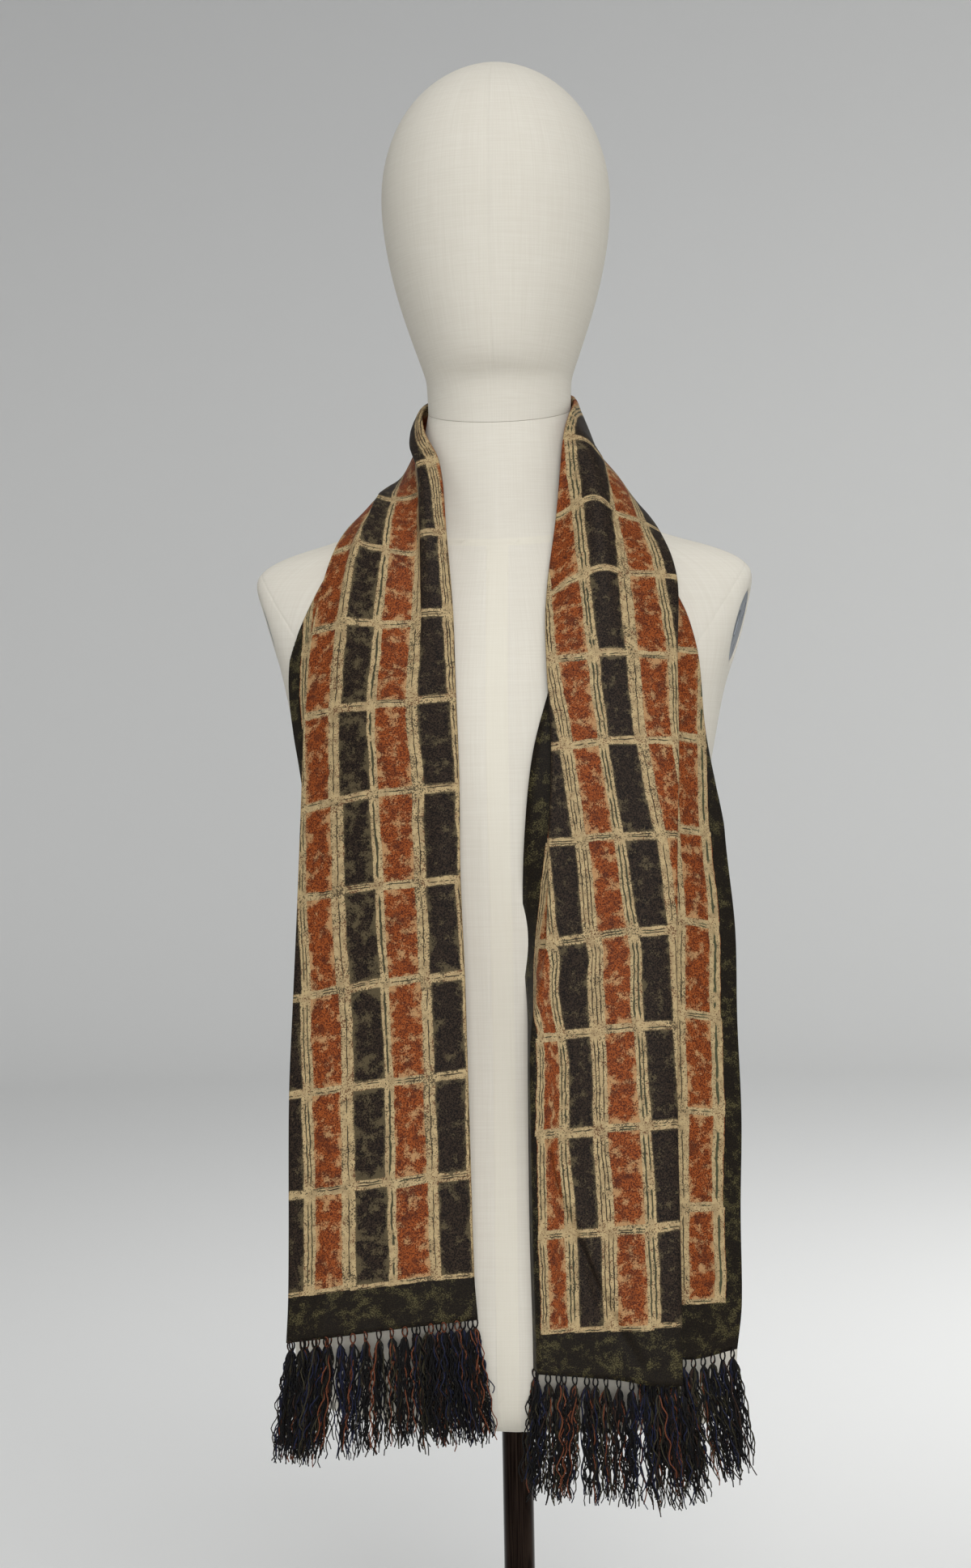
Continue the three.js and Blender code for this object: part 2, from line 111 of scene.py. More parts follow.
# %% Sockets that add up
class Signal:
    """A value inside a node tree that can be used in sums."""

    def __init__(self, tree, socket):
        self.tree = tree
        self.socket = socket

    def maths(self, operation, *others):
        node = self.tree.nodes.new("ShaderNodeMath")
        node.operation = operation
        for socket, value in zip(node.inputs, (self, *others)):
            feed(self.tree, socket, value)
        return Signal(self.tree, node.outputs[0])

    def __add__(self, other):
        return self.maths("ADD", other)

    def __sub__(self, other):
        return self.maths("SUBTRACT", other)

    def __neg__(self):
        return self.maths("MULTIPLY", -1)

    def __mul__(self, other):
        return self.maths("MULTIPLY", other)

    def __truediv__(self, other):
        return self.maths("DIVIDE", other)

    def floor(self):
        return self.maths("FLOOR")

    def abs(self):
        return self.maths("ABSOLUTE")

    def least(self, other):
        return self.maths("MINIMUM", other)

    def most(self, other):
        return self.maths("MAXIMUM", other)

    def clip(self, low, high):
        return self.most(low).least(high)

    def ramp(self, low, high):
        """0 where the value is low, 1 where it is high, smooth between; high may be the smaller."""
        node = self.tree.nodes.new("ShaderNodeMapRange")
        node.interpolation_type = "SMOOTHSTEP"
        feed(self.tree, node.inputs["Value"], self)
        ends = (low, high, 0, 1)
        if not isinstance(low, Signal) and not isinstance(high, Signal) and low > high:
            ends = (high, low, 1, 0)
        for name, value in zip(("From Min", "From Max", "To Min", "To Max"), ends):
            feed(self.tree, node.inputs[name], value)
        return Signal(self.tree, node.outputs["Result"])


print("a signal can:", [name for name in dir(Signal) if not name.startswith("_")])

# Inks are given as they look on a screen, from 0 to 255, and turned into the linear values
# Blender mixes.

# %% Nodes by name
def feed(tree, socket, value):
    """Sets a socket to a number or colour, or links a signal to it."""
    if isinstance(value, Signal):
        tree.links.new(value.socket, socket)
    else:
        socket.default_value = value


def joined(tree, *parts):
    """A vector of three values."""
    node = tree.nodes.new("ShaderNodeCombineXYZ")
    for socket, value in zip(node.inputs, parts):
        feed(tree, socket, value)
    return Signal(tree, node.outputs[0])


def parted(tree, vector):
    """The three values of a vector or colour."""
    node = tree.nodes.new("ShaderNodeSeparateXYZ")
    feed(tree, node.inputs[0], vector)
    return [Signal(tree, socket) for socket in node.outputs]


def noise(tree, where, size, detail=2.0, rough=0.5):
    """Soft clouds, each about `size` across, as a value round 0.5."""
    node = tree.nodes.new("ShaderNodeTexNoise")
    feed(tree, node.inputs["Vector"], where)
    node.inputs["Scale"].default_value = 1 / size
    node.inputs["Detail"].default_value = detail
    node.inputs["Roughness"].default_value = rough
    return Signal(tree, node.outputs["Fac"])


def dice(tree, *parts):
    """Three random numbers from 0 to 1 that belong to a cell."""
    node = tree.nodes.new("ShaderNodeTexWhiteNoise")
    feed(tree, node.inputs["Vector"], joined(tree, *parts))
    return parted(tree, Signal(tree, node.outputs["Color"]))


MIX_FACTOR, MIX_UNDER, MIX_OVER, MIX_RESULT = 0, 6, 7, 2


def blend(tree, share, under, over):
    """One colour laid over another by a share from 0 to 1."""
    node = tree.nodes.new("ShaderNodeMix")
    node.data_type = "RGBA"
    feed(tree, node.inputs[MIX_FACTOR], share)
    feed(tree, node.inputs[MIX_UNDER], under)
    feed(tree, node.inputs[MIX_OVER], over)
    return Signal(tree, node.outputs[MIX_RESULT])


def ink(red, green, blue):
    """A colour from 0 to 255 as it is seen, as the linear values that Blender mixes."""
    linear = []
    for value in (red, green, blue):
        share = value / 255
        linear.append(share / 12.92 if share < 0.04045 else ((share + 0.055) / 1.055) ** 2.4)
    return (*linear, 1)


print("middle grey in linear values:", round(ink(128, 128, 128)[0], 3))

# %% [markdown]
# ## Camera
#
# The form stands upright and is seen from chest height, a little from its left, with a short
# telephoto lens. The camera has a slight roll, so it is built from its own three axes: right, up
# and back are the columns of its matrix.

# %% Camera
VIEW_TURN = math.radians(4)
VIEW_ROLL = math.radians(1)
VIEW_DISTANCE = 2.2
VIEW_HEIGHT = 0.732
VIEW_STEP = -0.0154
LENS = 67.46

ahead = Vector((-math.sin(VIEW_TURN), math.cos(VIEW_TURN), 0))
level = Vector((math.cos(VIEW_TURN), math.sin(VIEW_TURN), 0))
upright = Vector((0, 0, 1))
right = level * math.cos(VIEW_ROLL) - upright * math.sin(VIEW_ROLL)
up = level * math.sin(VIEW_ROLL) + upright * math.cos(VIEW_ROLL)
stand_point = level * VIEW_STEP - ahead * VIEW_DISTANCE + upright * VIEW_HEIGHT

camera = bpy.data.objects.new("camera", bpy.data.cameras.new("camera"))
bpy.context.scene.collection.objects.link(camera)
camera.data.lens = LENS
camera.data.clip_end = 60
turn = Matrix((right, up, -ahead)).transposed()
camera.matrix_world = Matrix.Translation(stand_point) @ turn.to_4x4()
bpy.context.scene.camera = camera
bpy.context.scene.view_settings.view_transform = "Standard"
print("camera at", tuple(round(x, 3) for x in stand_point))

# %% [markdown]
# ## The scarf's shape
#
# The scarf is one strip of silk, 248 mm by 1744 mm. It is folded lengthwise at both edges, laid
# round the neck and let fall in front. Its frame solids were made from cross sections, one for
# each printed row: the inner and outer edge of the front layer, how deep the pleats behind the
# edges are, and at which width of cloth they turn. The same sections give the fine sheet its
# shape. A cloth simulation would lose the print's place on the folds, so the sheet is a grid whose
# points are moved onto the sections, with every crease laid in one by one.

# %% Cross sections of the folded scarf, in millimetres
SCARF_WIDTH = 248
ROW_PITCH = 69.5
FOLD_RADIUS = 1.5
TURN_RADIUS = 5
FULL_FOLD_DEPTH = 16
ROW_PROBE = 0.1
HEM_FOLD_RADIUS = 1.5
FORWARD = np.array([0, -1, 0.35])
NAPE_ROW = 11.55
LEAST_TUCK = 0.01

SECTION_NAMES = "row xi yi zi xo yo zo xe ye ze crown turn ui hi uo ho rise edge".split()
SECTIONS = np.array([
    [-0.547, -21, -119, 352, -158, -101, 333, -180, -88, 330, 2, 0, 51.5, 51.5, 186, 36.5, 0, 248],
    [0, -23, -119, 385, -156, -101, 367, -178, -88, 364, 3, 0, 51.5, 51.5, 186, 36.5, 0, 248],
    [2, -25, -118, 527, -153, -97, 510, -172, -82, 507, 5, 0, 51.5, 51.5, 185.5, 37, 0, 248],
    [3, -26, -117, 597, -150, -92, 580, -170, -76, 577, 6, 0, 51, 51, 181, 39, -4, 248],
    [4, -28, -116, 664, -147, -85, 651, -166, -66, 647, 8, 0, 51, 51, 175, 40, -8, 248],
    [5, -28, -113, 731, -145, -78, 716, -162, -58, 711, 9, 0, 50, 50, 172, 37, -12, 248],
    [6, -30, -106, 794, -142, -72, 783, -161, -54, 770, 9, 0, 47.5, 47.5, 169, 29, -17, 248],
    [7, -32, -91, 856, -135, -68, 845, -166, -52, 820, 9, 0, 45, 45, 167, 26, -18, 247],
    [8, -37, -72, 914, -120, -50, 903, -147, -40, 880, 12, 0, 44, 44, 166, 19, -12, 219],
    [9, -43, -48, 968, -101, -8, 937, -116, 6, 921, 12, 0, 43, 43, 170, 14, 0, 210],
    [9.5, -55, -25, 993, -93, 28, 942, -104, 42, 920, 6, 0, 45, 45, 171, 14, 0, 210],
    [10, -58, 6, 1013, -86, 60, 940, -93, 74, 910, 2, 0, 50, 50, 168, 28, 0, 240],
    [10.8, -44, 50, 1027, -58, 88, 934, -60, 102, 884, 3, 0, 62, 62, 166, 20, 0, 248],
    [11.55, 0, 70, 1031, 0, 98, 934, 0, 106, 868, 3, 0, 72, 70, 168, 9, 0, 248],
    [12.3, 43, 51, 1028, 57, 88, 936, 58, 102, 886, 3, 0, 84, 70, 174, 18, 0, 248],
    [13.1, 58, 10, 1018, 84, 58, 941, 93, 74, 911, 2, 0, 100, 66, 182, 28, 0, 248],
    [13.5, 55, -24, 1002, 92, 30, 945, 103, 44, 923, 6, 0, 105, 66, 186, 31, 0, 248],
    [14, 51, -44, 982, 101, 0, 941, 113, 12, 925, 13, 0, 104, 62, 190, 29, 0, 248],
    [15, 45, -60, 929, 119, -36, 916, 129, -26, 900, 14, 0, 93, 50, 189, 29, 0, 248],
    [16, 38, -82, 874, 130, -60, 880, 141, -52, 870, 11, 0, 79, 44, 185, 11, 4, 210],
    [17, 38, -100, 820, 129, -82, 822, 153, -66, 824, 8, 0, 75, 41, 175, 14, 8, 223],
    [18, 41, -113, 758, 129, -101, 760, 160, -72, 762, 6, 0, 66, 27, 172, 15, 6, 234],
    [19, 38, -117, 690, 127, -112, 694, 166, -78, 694, 5, 20, 53, 17, 155, 22, 8, 248],
    [20, 35, -119, 619, 126, -116, 627, 169, -84, 626, 4, 55, 44, 9, 144, 25, 10, 248],
    [21, 26, -119, 551, 125, -118, 560, 171, -88, 560, 3, 75, 18, 0, 139, 28, 12, 248],
    [22, 25, -119, 482, 124, -119, 490, 173, -91, 493, 3, 75, 18, 0, 134, 30, 16, 248],
    [23, 25, -119, 412, 124, -119, 418, 173, -93, 427, 2, 75, 18, 0, 130, 33, 20, 248],
    [24, 26, -119, 343, 124, -119, 348, 172, -94, 360, 2, 75, 18, 0, 130, 33, 24, 248],
    [24.547, 26, -118, 313, 124, -118, 305, 170, -95, 327, 2, 75, 18, 0, 130, 34, 28, 248],
])
SECTION_ROWS = SECTIONS[:, 0]
FIRST_ROW = SECTION_ROWS[0]
LAST_ROW = SECTION_ROWS[-1]
print(len(SECTIONS), "sections, flat length", round((LAST_ROW - FIRST_ROW) * ROW_PITCH), "mm")

# %% [markdown]
# The sections are joined by smooth curves: between two rows every size follows a cubic whose slope
# comes from its neighbours. The same kind of curve gives the line that the front layer follows
# across one section, from the inner edge over the crown to the outer strip.

# %% Smooth sections and their front line
def through(places, values, at):
    """A smooth curve through values at uneven places."""
    last = len(places) - 1
    k = np.searchsorted(places[1:last], at, side="left")
    before = np.maximum(np.arange(last + 1) - 1, 0)
    after = np.minimum(np.arange(last + 1) + 1, last)
    gaps = places[after] - places[before]
    slope = (values[after] - values[before]) / gaps[:, None]
    span = (places[k + 1] - places[k])[:, None]
    t = (at - places[k])[:, None] / span
    rise = values[k + 1] - values[k]
    a = slope[k] * span - rise
    b = rise - slope[k + 1] * span
    return values[k] + t * rise + t * (1 - t) * (a * (1 - t) + b * t)


def section_at(row):
    """The section's sizes at any row, part rows included."""
    sizes = through(SECTION_ROWS, SECTIONS, np.array([row]))[0]
    section = dict(zip(SECTION_NAMES, sizes))
    for name in ("hi", "ho", "turn"):
        section[name] = max(section[name], 0)
    return section


class FrontLine:
    """The line that the front layer follows across the scarf."""

    def __init__(self, s):
        inner = np.array([s["xi"], s["yi"], s["zi"]])
        outer = np.array([s["xo"], s["yo"], s["zo"]])
        strip = np.array([s["xe"], s["ye"], s["ze"]])
        chord = outer - inner
        forward = FORWARD - chord * (FORWARD @ chord) / (chord @ chord)
        forward = forward / np.linalg.norm(forward)
        middle = (inner + outer) / 2 + forward * s["crown"]
        half = np.linalg.norm(middle - inner)
        self.full = half + np.linalg.norm(outer - middle)
        far = self.full + np.linalg.norm(strip - outer)
        self.places = np.array([0, half, self.full, far])
        self.points = np.array([inner, middle, outer, strip])

    def at(self, t):
        """Points at distances t; past either end the line runs on straight."""
        held = np.clip(t, self.places[0], self.places[-1])
        step = np.where(t < self.places[0], 1.0, -1.0)
        points = through(self.places, self.points, held)
        run = through(self.places, self.points, held + step) - points
        return points + run * ((t - held) * step)[:, None]


nape = FrontLine(section_at(NAPE_ROW))
print("front line at the nape:", round(nape.full), "mm long")

# %% [markdown]
# A point's place across a section is found in two steps. First its width of cloth becomes a
# distance along the front line and a depth behind it, which is where the pleats turn. Then that
# distance is looked up on the front line itself. A pleat is a walk: round one fold, back behind
# the front layer, round the next fold and out again.

# %% Pleats
def half_turn(depth):
    """Half the cloth taken up by the turn of a pleat's edge."""
    return FOLD_RADIUS * math.pi * float(smoothstep(0, FULL_FOLD_DEPTH, depth)) / 2


def pleat(past, depth):
    """Distance across from a folded edge, and depth behind it, of cloth `past` the fold."""
    turned = math.pi * float(smoothstep(0, FULL_FOLD_DEPTH, depth))
    arc = FOLD_RADIUS * turned
    stages = ((arc, 1), (max(depth - arc, 0), 0), (arc, -1), (math.inf, 0))
    across, behind, heading = (np.zeros_like(past) for _ in range(3))
    left = past + arc / 2
    for length, bend in stages:
        run = np.clip(left, 0, length)
        if bend == 0:
            across += run * np.cos(heading)
            behind += run * np.sin(heading)
        else:
            after = heading + bend * run / FOLD_RADIUS
            across += bend * FOLD_RADIUS * (np.sin(after) - np.sin(heading))
            behind += bend * FOLD_RADIUS * (np.cos(heading) - np.cos(after))
            heading = after
        left = left - run
    return across, behind


def turned_strip(past, angle, radius=TURN_RADIUS):
    """How far a strip beyond an edge reaches across and back when it turns."""
    bend = np.minimum(past / radius, angle)
    straight = past - bend * radius
    beyond = radius * np.sin(bend) + straight * np.cos(bend)
    back = radius * (1 - np.cos(bend)) + straight * np.sin(bend)
    return beyond, back


print("a full turn takes up", round(2 * half_turn(FULL_FOLD_DEPTH), 1), "mm of cloth")

# %% [markdown]
# ## Creases
#
# Silk never hangs flat. Each crease is a soft ridge or trough that follows a path on the cloth.
# Every point of a path gives a row, a width, how far the cloth stands out there and how far its
# rows are lifted. A ridge may fall away quickly on one side and slowly on the other. A tuck takes
# some cloth in, so that the print beside it moves closer. They are placed one by one where a
# pleated scarf bends: over the shoulders, below the neck and along the hem. The hidden back has
# similar ones. They could be sculpted by hand too, but a table can be read and changed.

# %% Creases, listed one by one
# steepness, then points of row, width and cloth taken in
TUCKS = (
    (0.8, ((6, 70, 0), (7, 72, 6), (8, 73, 12), (9, 73, 18),
           (10, 74, 17), (10.8, 74, 8), (11.4, 74, 0))),
    (0.6, ((8.0, 139, 0), (8.5, 137, 7), (9.2, 136, 12), (9.8, 137, 8), (10.6, 138, 0))),
    (0.7, ((13.2, 138, 0), (14.2, 139, 8), (15, 139, 5), (15.9, 139, 0))),
    (1.2, ((19.8, 34, 0), (20.5, 35, 14), (21, 35, 13), (22, 35, 12), (23, 35, 8), (24.6, 35, 8))),
    (2.0, ((20.6, 64, 0), (21, 64, 4), (23, 64, 4), (24.6, 64, 5))),
)
# breadth towards the inner and the outer side, then points of row, width, out and lift
CREASES = (
    (16, 9, ((6.2, 60, 0, 0), (7, 60, 2, 0), (8, 60, 5, 0), (9, 60, 7, 0), (10, 62, 4, 0),
             (10.8, 64, 0, 0))),
    (7, 40, ((5.5, 84, 0, 0), (6, 84, 0, -2), (7, 84, -1, -7), (8, 84, -2, -12),
             (9, 84, -3, -14), (10, 86, -1, -6), (10.6, 88, 0, 0))),
    (9, 4, ((8.0, 131, 0, 0), (8.8, 129, 2.5, 2), (9.5, 128, 2, 2), (10.3, 128, 0, 0))),
    (9, 5, ((6.3, 137, 0, 0), (7.2, 138, 1.5, 3), (8.1, 138, 1.5, 4), (8.6, 138, 0, 0))),
    (17, 13, ((13.0, 121, 0, 0), (14.1, 121, 2, 9), (15, 122, 3, 9), (16, 122, 2, 5),
              (17.2, 122, 0, 0))),
    (12, 10, ((14.2, 100, 0, 0), (15, 94, 0, -4), (16, 82, 0, -7), (16.9, 78, 0, 0))),
    (8, 2.4, ((22.0, 27, 0, 0), (22.3, 33, -2.4, 0), (22.75, 46.5, -3.4, 0), (23.15, 56, -3.4, 0),
              (23.65, 74, -3.6, 0), (24.0, 85, -3.0, 0), (24.5, 106, 0, 0))),
    (3, 9, ((22.0, 30, 0, 0), (22.4, 38, 1.4, 0), (23.15, 60, 1.8, 0), (23.65, 78, 1.8, 0),
            (24.45, 108, 0, 0))),
    (6, 4, ((23.3, 196, 0, 0), (23.9, 206, -1.4, 0), (24.5, 214, 0, 0))),
    (5, 7, ((-0.5, 120, -1.2, 0), (0.3, 112, 0.8, 0), (1.4, 104, 0, 0))),
    (6, 6, ((-0.5, 160, 1.0, 0), (1.2, 152, 0.8, 0), (4.6, 158, 0, 0))),
    (9, 12, ((2.8, 72, 0, 0), (4.2, 68, 1.3, 0), (6.4, 62, 0, 0))),
    (10, 10, ((17.0, 120, 0, 0), (18.8, 111, 1.1, 0), (20.8, 102, 0, 0))),
    (7, 7, ((10.0, 78, 0, 0), (11.4, 88, 2.2, 0), (13.0, 98, 0, 0))),
    (8, 8, ((10.2, 132, 0, 0), (11.4, 122, 2.0, 0), (12.8, 110, 0, 0))),
    (6, 6, ((9.8, 149, 0, 0), (10.7, 155, 1.6, 0), (11.7, 161, 0, 0))),
)
print(len(TUCKS), "tucks and", len(CREASES), "creases")

# %% [markdown]
# Between the two edges a width of cloth is a share of the front line, less what the tucks have
# taken in. Past either edge the pleats take over. The outermost hem is turned under with a tight
# fold, as a rolled edge is.

# %% Places in a section
def tucked(row, s, u):
    """Share of the front line reached by cloth at widths u, with the tucks' cloth taken in."""
    inner_from = s["ui"] + half_turn(s["hi"])
    outer_to = s["uo"] - half_turn(s["ho"])
    taken = np.zeros_like(u)
    ends = np.array([inner_from, outer_to])
    taken_at_ends = np.zeros(2)
    for steepness, points in TUCKS:
        rows, middles, amounts = np.array(points).T
        amount = np.interp(row, rows, amounts)
        if amount > LEAST_TUCK:
            middle = np.interp(row, rows, middles)
            half = amount * steepness
            taken += amount * smoothstep(middle - half, middle + half, u)
            taken_at_ends += amount * smoothstep(middle - half, middle + half, ends)
    reach = ends - taken_at_ends
    return (u - taken - reach[0]) / (reach[1] - reach[0])


def in_section(row, s, full, u):
    """Where cloth at widths u lies in a section: t across, depth behind, and lift."""
    inner_from = s["ui"] + half_turn(s["hi"])
    outer_to = s["uo"] - half_turn(s["ho"])
    t = full * tucked(row, s, u)
    behind = np.zeros_like(u)
    lift = np.zeros_like(u)
    inside = u < inner_from
    across, back = pleat(s["ui"] - u[inside], s["hi"])
    t[inside] = -across
    behind[inside] = back
    outside = u > outer_to
    past_edge = np.maximum(u[outside] - s["edge"], 0)
    across, back = pleat(u[outside] - past_edge - s["uo"], s["ho"])
    hem_across, hem_back = turned_strip(past_edge, math.pi, HEM_FOLD_RADIUS)
    t[outside] = full + across + hem_across
    behind[outside] = back + hem_back
    fold = s["uo"] + s["ho"]
    rising = s["rise"] * (u - s["uo"]) / max(s["ho"], 1)
    falling = s["rise"] * (SCARF_WIDTH - u) / (SCARF_WIDTH - fold)
    lift[outside] = np.where(u < fold, rising, falling)[outside]
    return t, behind, lift


first = section_at(0)
across, behind, _ = in_section(0, first, FrontLine(first).full, np.array([0.0, SCARF_WIDTH]))
print("hems of the first row:", across.round(), "mm across and", behind.round(), "mm behind")

# %% [markdown]
# Two slow waves run over the whole sheet and keep the flat parts alive. They beat against each
# other, so no ripple repeats. The last function puts everything together: it takes a row and
# widths of cloth and gives points in space. The layers behind follow the front layer's relief, or
# a ridge would let them poke through.

# %% From a row and a width to a point in space
WAVE_HEIGHT = 0.7
# breadth of each wave, its drift from row to row and its phase
WAVES = ((17, 1.3, 0), (29, -0.7, 2))
FRONT_SAMPLES = 80


def relief(row, u):
    """How far the creases stand the cloth out, and lift it, at one row and widths u."""
    out = np.zeros_like(u)
    lift = np.zeros_like(u)
    for inner_breadth, outer_breadth, points in CREASES:
        rows, middles, heights, rises = np.array(points).T
        if rows[0] < row < rows[-1]:
            off = u - np.interp(row, rows, middles)
            off = off / np.where(off < 0, inner_breadth, outer_breadth)
            form = np.exp(-off * off)
            out += form * np.interp(row, rows, heights)
            lift += form * np.interp(row, rows, rises)
    waves = sum(np.sin(u / breadth + row * drift + phase) for breadth, drift, phase in WAVES)
    out += WAVE_HEIGHT * waves * (0.4 + 0.6 * math.sin(row * 0.9) ** 2)
    return out, lift


def cloth_points(row, u):
    """Points of the folded sheet at one row and widths u, in millimetres."""
    inside = min(max(row, FIRST_ROW), LAST_ROW)
    s = section_at(inside)
    line = FrontLine(s)
    t, behind, lift = in_section(inside, s, line.full, u)
    on_line = np.maximum(t, 0)
    points = line.at(on_line)
    across = line.at(on_line + 1) - points
    across /= np.linalg.norm(across, axis=1)[:, None]
    step = -ROW_PROBE if inside > FIRST_ROW + ROW_PROBE else ROW_PROBE
    other = FrontLine(section_at(inside + step))
    along = (other.at(on_line) - points) * np.sign(step)
    to_back = np.cross(across, along)
    to_back /= np.linalg.norm(to_back, axis=1)[:, None]
    beyond, back = turned_strip(np.maximum(-t, 0), math.radians(s["turn"]))
    front = np.linspace(s["ui"], s["uo"], FRONT_SAMPLES)
    reached = np.maximum.accumulate(line.full * tucked(inside, s, front))
    below = np.interp(t, reached, front) + np.minimum(t, 0) + np.maximum(t - line.full, 0)
    on_front = np.where((u < s["ui"]) | (u > s["uo"]), below, u)
    out, raised = relief(inside, on_front)
    points += to_back * (behind + back - out)[:, None] - across * beyond[:, None]
    points[:, 2] += lift + raised - abs(row - inside) * ROW_PITCH
    return points


print("inner edge of the first row:", cloth_points(0, np.array([SECTIONS[1, 12]]))[0].round())

# %% [markdown]
# Folds need more points than flats. Each row of the grid therefore spreads its points by the
# section: a few for each flat stretch and a tight group for each turn. The grid is Blender's own,
# and only its points are moved. The map on it holds the flat cloth's real sizes, in metres, so a
# print drawn on the map is as large as the real one and bends with the silk.

# %% The silk sheet
ROW_PARTS = 404
FLAT_PARTS = (6, 10, 56, 9, 7, 5)
TURN_PARTS = (4, 5, 5, 4, 4)
COLUMN_PARTS = sum(FLAT_PARTS) + sum(TURN_PARTS)
LEAST_TURN = 1.2
LEAST_FLAP = 3
LEAST_PLEAT = 5.4
TURN_MARGIN = 1.15
HEM_LINE = 240


def widths_at(row):
    """Widths of cloth at which a row of the grid has its points."""
    s = section_at(min(max(row, FIRST_ROW), LAST_ROW))
    turns = (
        (min(max(s["ui"] - s["hi"], LEAST_FLAP), s["ui"] - LEAST_PLEAT), s["hi"]),
        (s["ui"], s["hi"]),
        (s["uo"], s["ho"]),
        (s["uo"] + max(s["ho"], LEAST_PLEAT), s["ho"]),
        (min(s["edge"], HEM_LINE) + HEM_FOLD_RADIUS * math.pi / 2, FULL_FOLD_DEPTH),
    )
    stops = [np.zeros(1)]
    reached = 0
    for (middle, depth), flat, turn in zip(turns, FLAT_PARTS, TURN_PARTS):
        half = max(half_turn(depth), LEAST_TURN / 2) * TURN_MARGIN
        stops.append(np.linspace(reached, middle - half, flat + 1)[1:])
        stops.append(np.linspace(middle - half, middle + half, turn + 1)[1:])
        reached = middle + half
    stops.append(np.linspace(reached, SCARF_WIDTH, FLAT_PARTS[-1] + 1)[1:])
    return np.concatenate(stops)


def silk_sheet():
    """The folded sheet as a grid, with the flat cloth's sizes as its map."""
    bm = bmesh.new()
    bmesh.ops.create_grid(bm, x_segments=COLUMN_PARTS, y_segments=ROW_PARTS, size=0.5)
    bm.verts.ensure_lookup_table()
    map_layer = bm.loops.layers.uv.new("cloth")
    rows = np.linspace(FIRST_ROW, LAST_ROW, ROW_PARTS + 1)
    widths = np.array([widths_at(row) for row in rows])
    points = np.array([cloth_points(row, u) for row, u in zip(rows, widths)]) * MM
    cell_of = {}
    for vertex in bm.verts:
        i = round((vertex.co.x + 0.5) * COLUMN_PARTS)
        j = round((vertex.co.y + 0.5) * ROW_PARTS)
        cell_of[vertex] = (i, j)
    for vertex, (i, j) in cell_of.items():
        vertex.co = points[j, i]
    for face in bm.faces:
        for loop in face.loops:
            i, j = cell_of[loop.vert]
            loop[map_layer].uv = (widths[j, i] * MM, rows[j] * ROW_PITCH * MM)
    return to_mesh("scarf", bm)


SILK_THICKNESS = 0.35
SCARF_NODES = ("scarf_left_tail", "scarf_neck", "scarf_right_tail")

scarf = add_piece("scarf", silk_sheet(), SCARF_NODES)
wall = scarf.modifiers.new("thickness", "SOLIDIFY")
wall.thickness = SILK_THICKNESS * MM
wall.offset = 0
wall.use_even_offset = False
print("sheet of", COLUMN_PARTS, "by", ROW_PARTS, "cells")

# %% [markdown]
# ## The form under the scarf
#
# The torso and the head are shells covered in stretched linen. Their plain solids already have the
# right size, but with forty flat sides. A merged copy with its caps taken off is rounded by two
# levels of subdivision, so that the open rims at the neck seam stay sharp, and is closed again.

# %% Round copies of the form's solids
NECK_TILT = math.radians(15)
NECK_AXIS = Vector((0, -math.sin(NECK_TILT), math.cos(NECK_TILT)))
SAME_POINT = 0.02 * MM
SAME_WAY = 0.9995
QUAD_ANGLE = math.radians(50)
ROUND_LEVELS = 2


def merged_copy(node, cap_normal):
    """A solid's mesh with shared points and four-sided faces, open at its flat cap."""
    bm = bmesh.new()
    bm.from_mesh(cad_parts[node].data)
    bmesh.ops.remove_doubles(bm, verts=bm.verts, dist=SAME_POINT)
    bm.normal_update()
    ends = [f for f in bm.faces if f.normal.dot(cap_normal) > SAME_WAY]
    bmesh.ops.delete(bm, geom=ends, context="FACES_ONLY")
    loose = [e for e in bm.edges if not e.link_faces]
    bmesh.ops.delete(bm, geom=loose, context="EDGES")
    bmesh.ops.join_triangles(
        bm, faces=bm.faces, angle_face_threshold=QUAD_ANGLE,
        angle_shape_threshold=QUAD_ANGLE * 1.6)
    return bm


def rounded(bm):
    """The same shape after subdivision, as a bmesh."""
    cage = on_bench("cage", to_mesh("cage", bm))
    cage.modifiers.new("round", "SUBSURF").levels = ROUND_LEVELS
    result = bmesh.new()
    result.from_mesh(finished_mesh(cage))
    return result


def close_rims(bm):
    """Fills every open rim with one flat face."""
    rims = [e for e in bm.edges if e.is_boundary]
    bmesh.ops.holes_fill(bm, edges=rims, sides=0)


head_bm = rounded(merged_copy("form_head", -NECK_AXIS))
print("rounded head:", len(head_bm.faces), "faces")

# %% [markdown]
# A seam is a shallow valley where two panels meet. Each is three close cuts along a plane, with
# the points of the middle cut moved in, or out for a thick seam. Only the faces near the seam are
# cut, so the rest of the shell keeps its flow. A bump map would be lighter, but a cut seam also
# catches the light at the outline. The head has one, down the middle of the face.

# %% Seams, and the head
FACE_SEAM_DEPTH = 0.45 * MM
FACE_SEAM_HALF = 0.9 * MM


def sew(bm, point, normal, depth, half_width, where):
    """A seam along a plane: three close cuts, with the middle one drawn in by `depth`."""
    normal = Vector(normal).normalized()
    point = Vector(point)
    for shift in (-half_width, half_width, 0):
        near = [f for f in bm.faces if where(f.calc_center_median())]
        geometry = set(near)
        for face in near:
            geometry.update(face.edges)
            geometry.update(face.verts)
        cut = bmesh.ops.bisect_plane(
            bm, geom=list(geometry), plane_co=point + normal * shift, plane_no=normal, dist=1e-6)
    bm.normal_update()
    drawn = [v for v in cut["geom_cut"] if isinstance(v, bmesh.types.BMVert)]
    for vertex in drawn:
        vertex.co -= vertex.normal * depth
    return len(drawn)


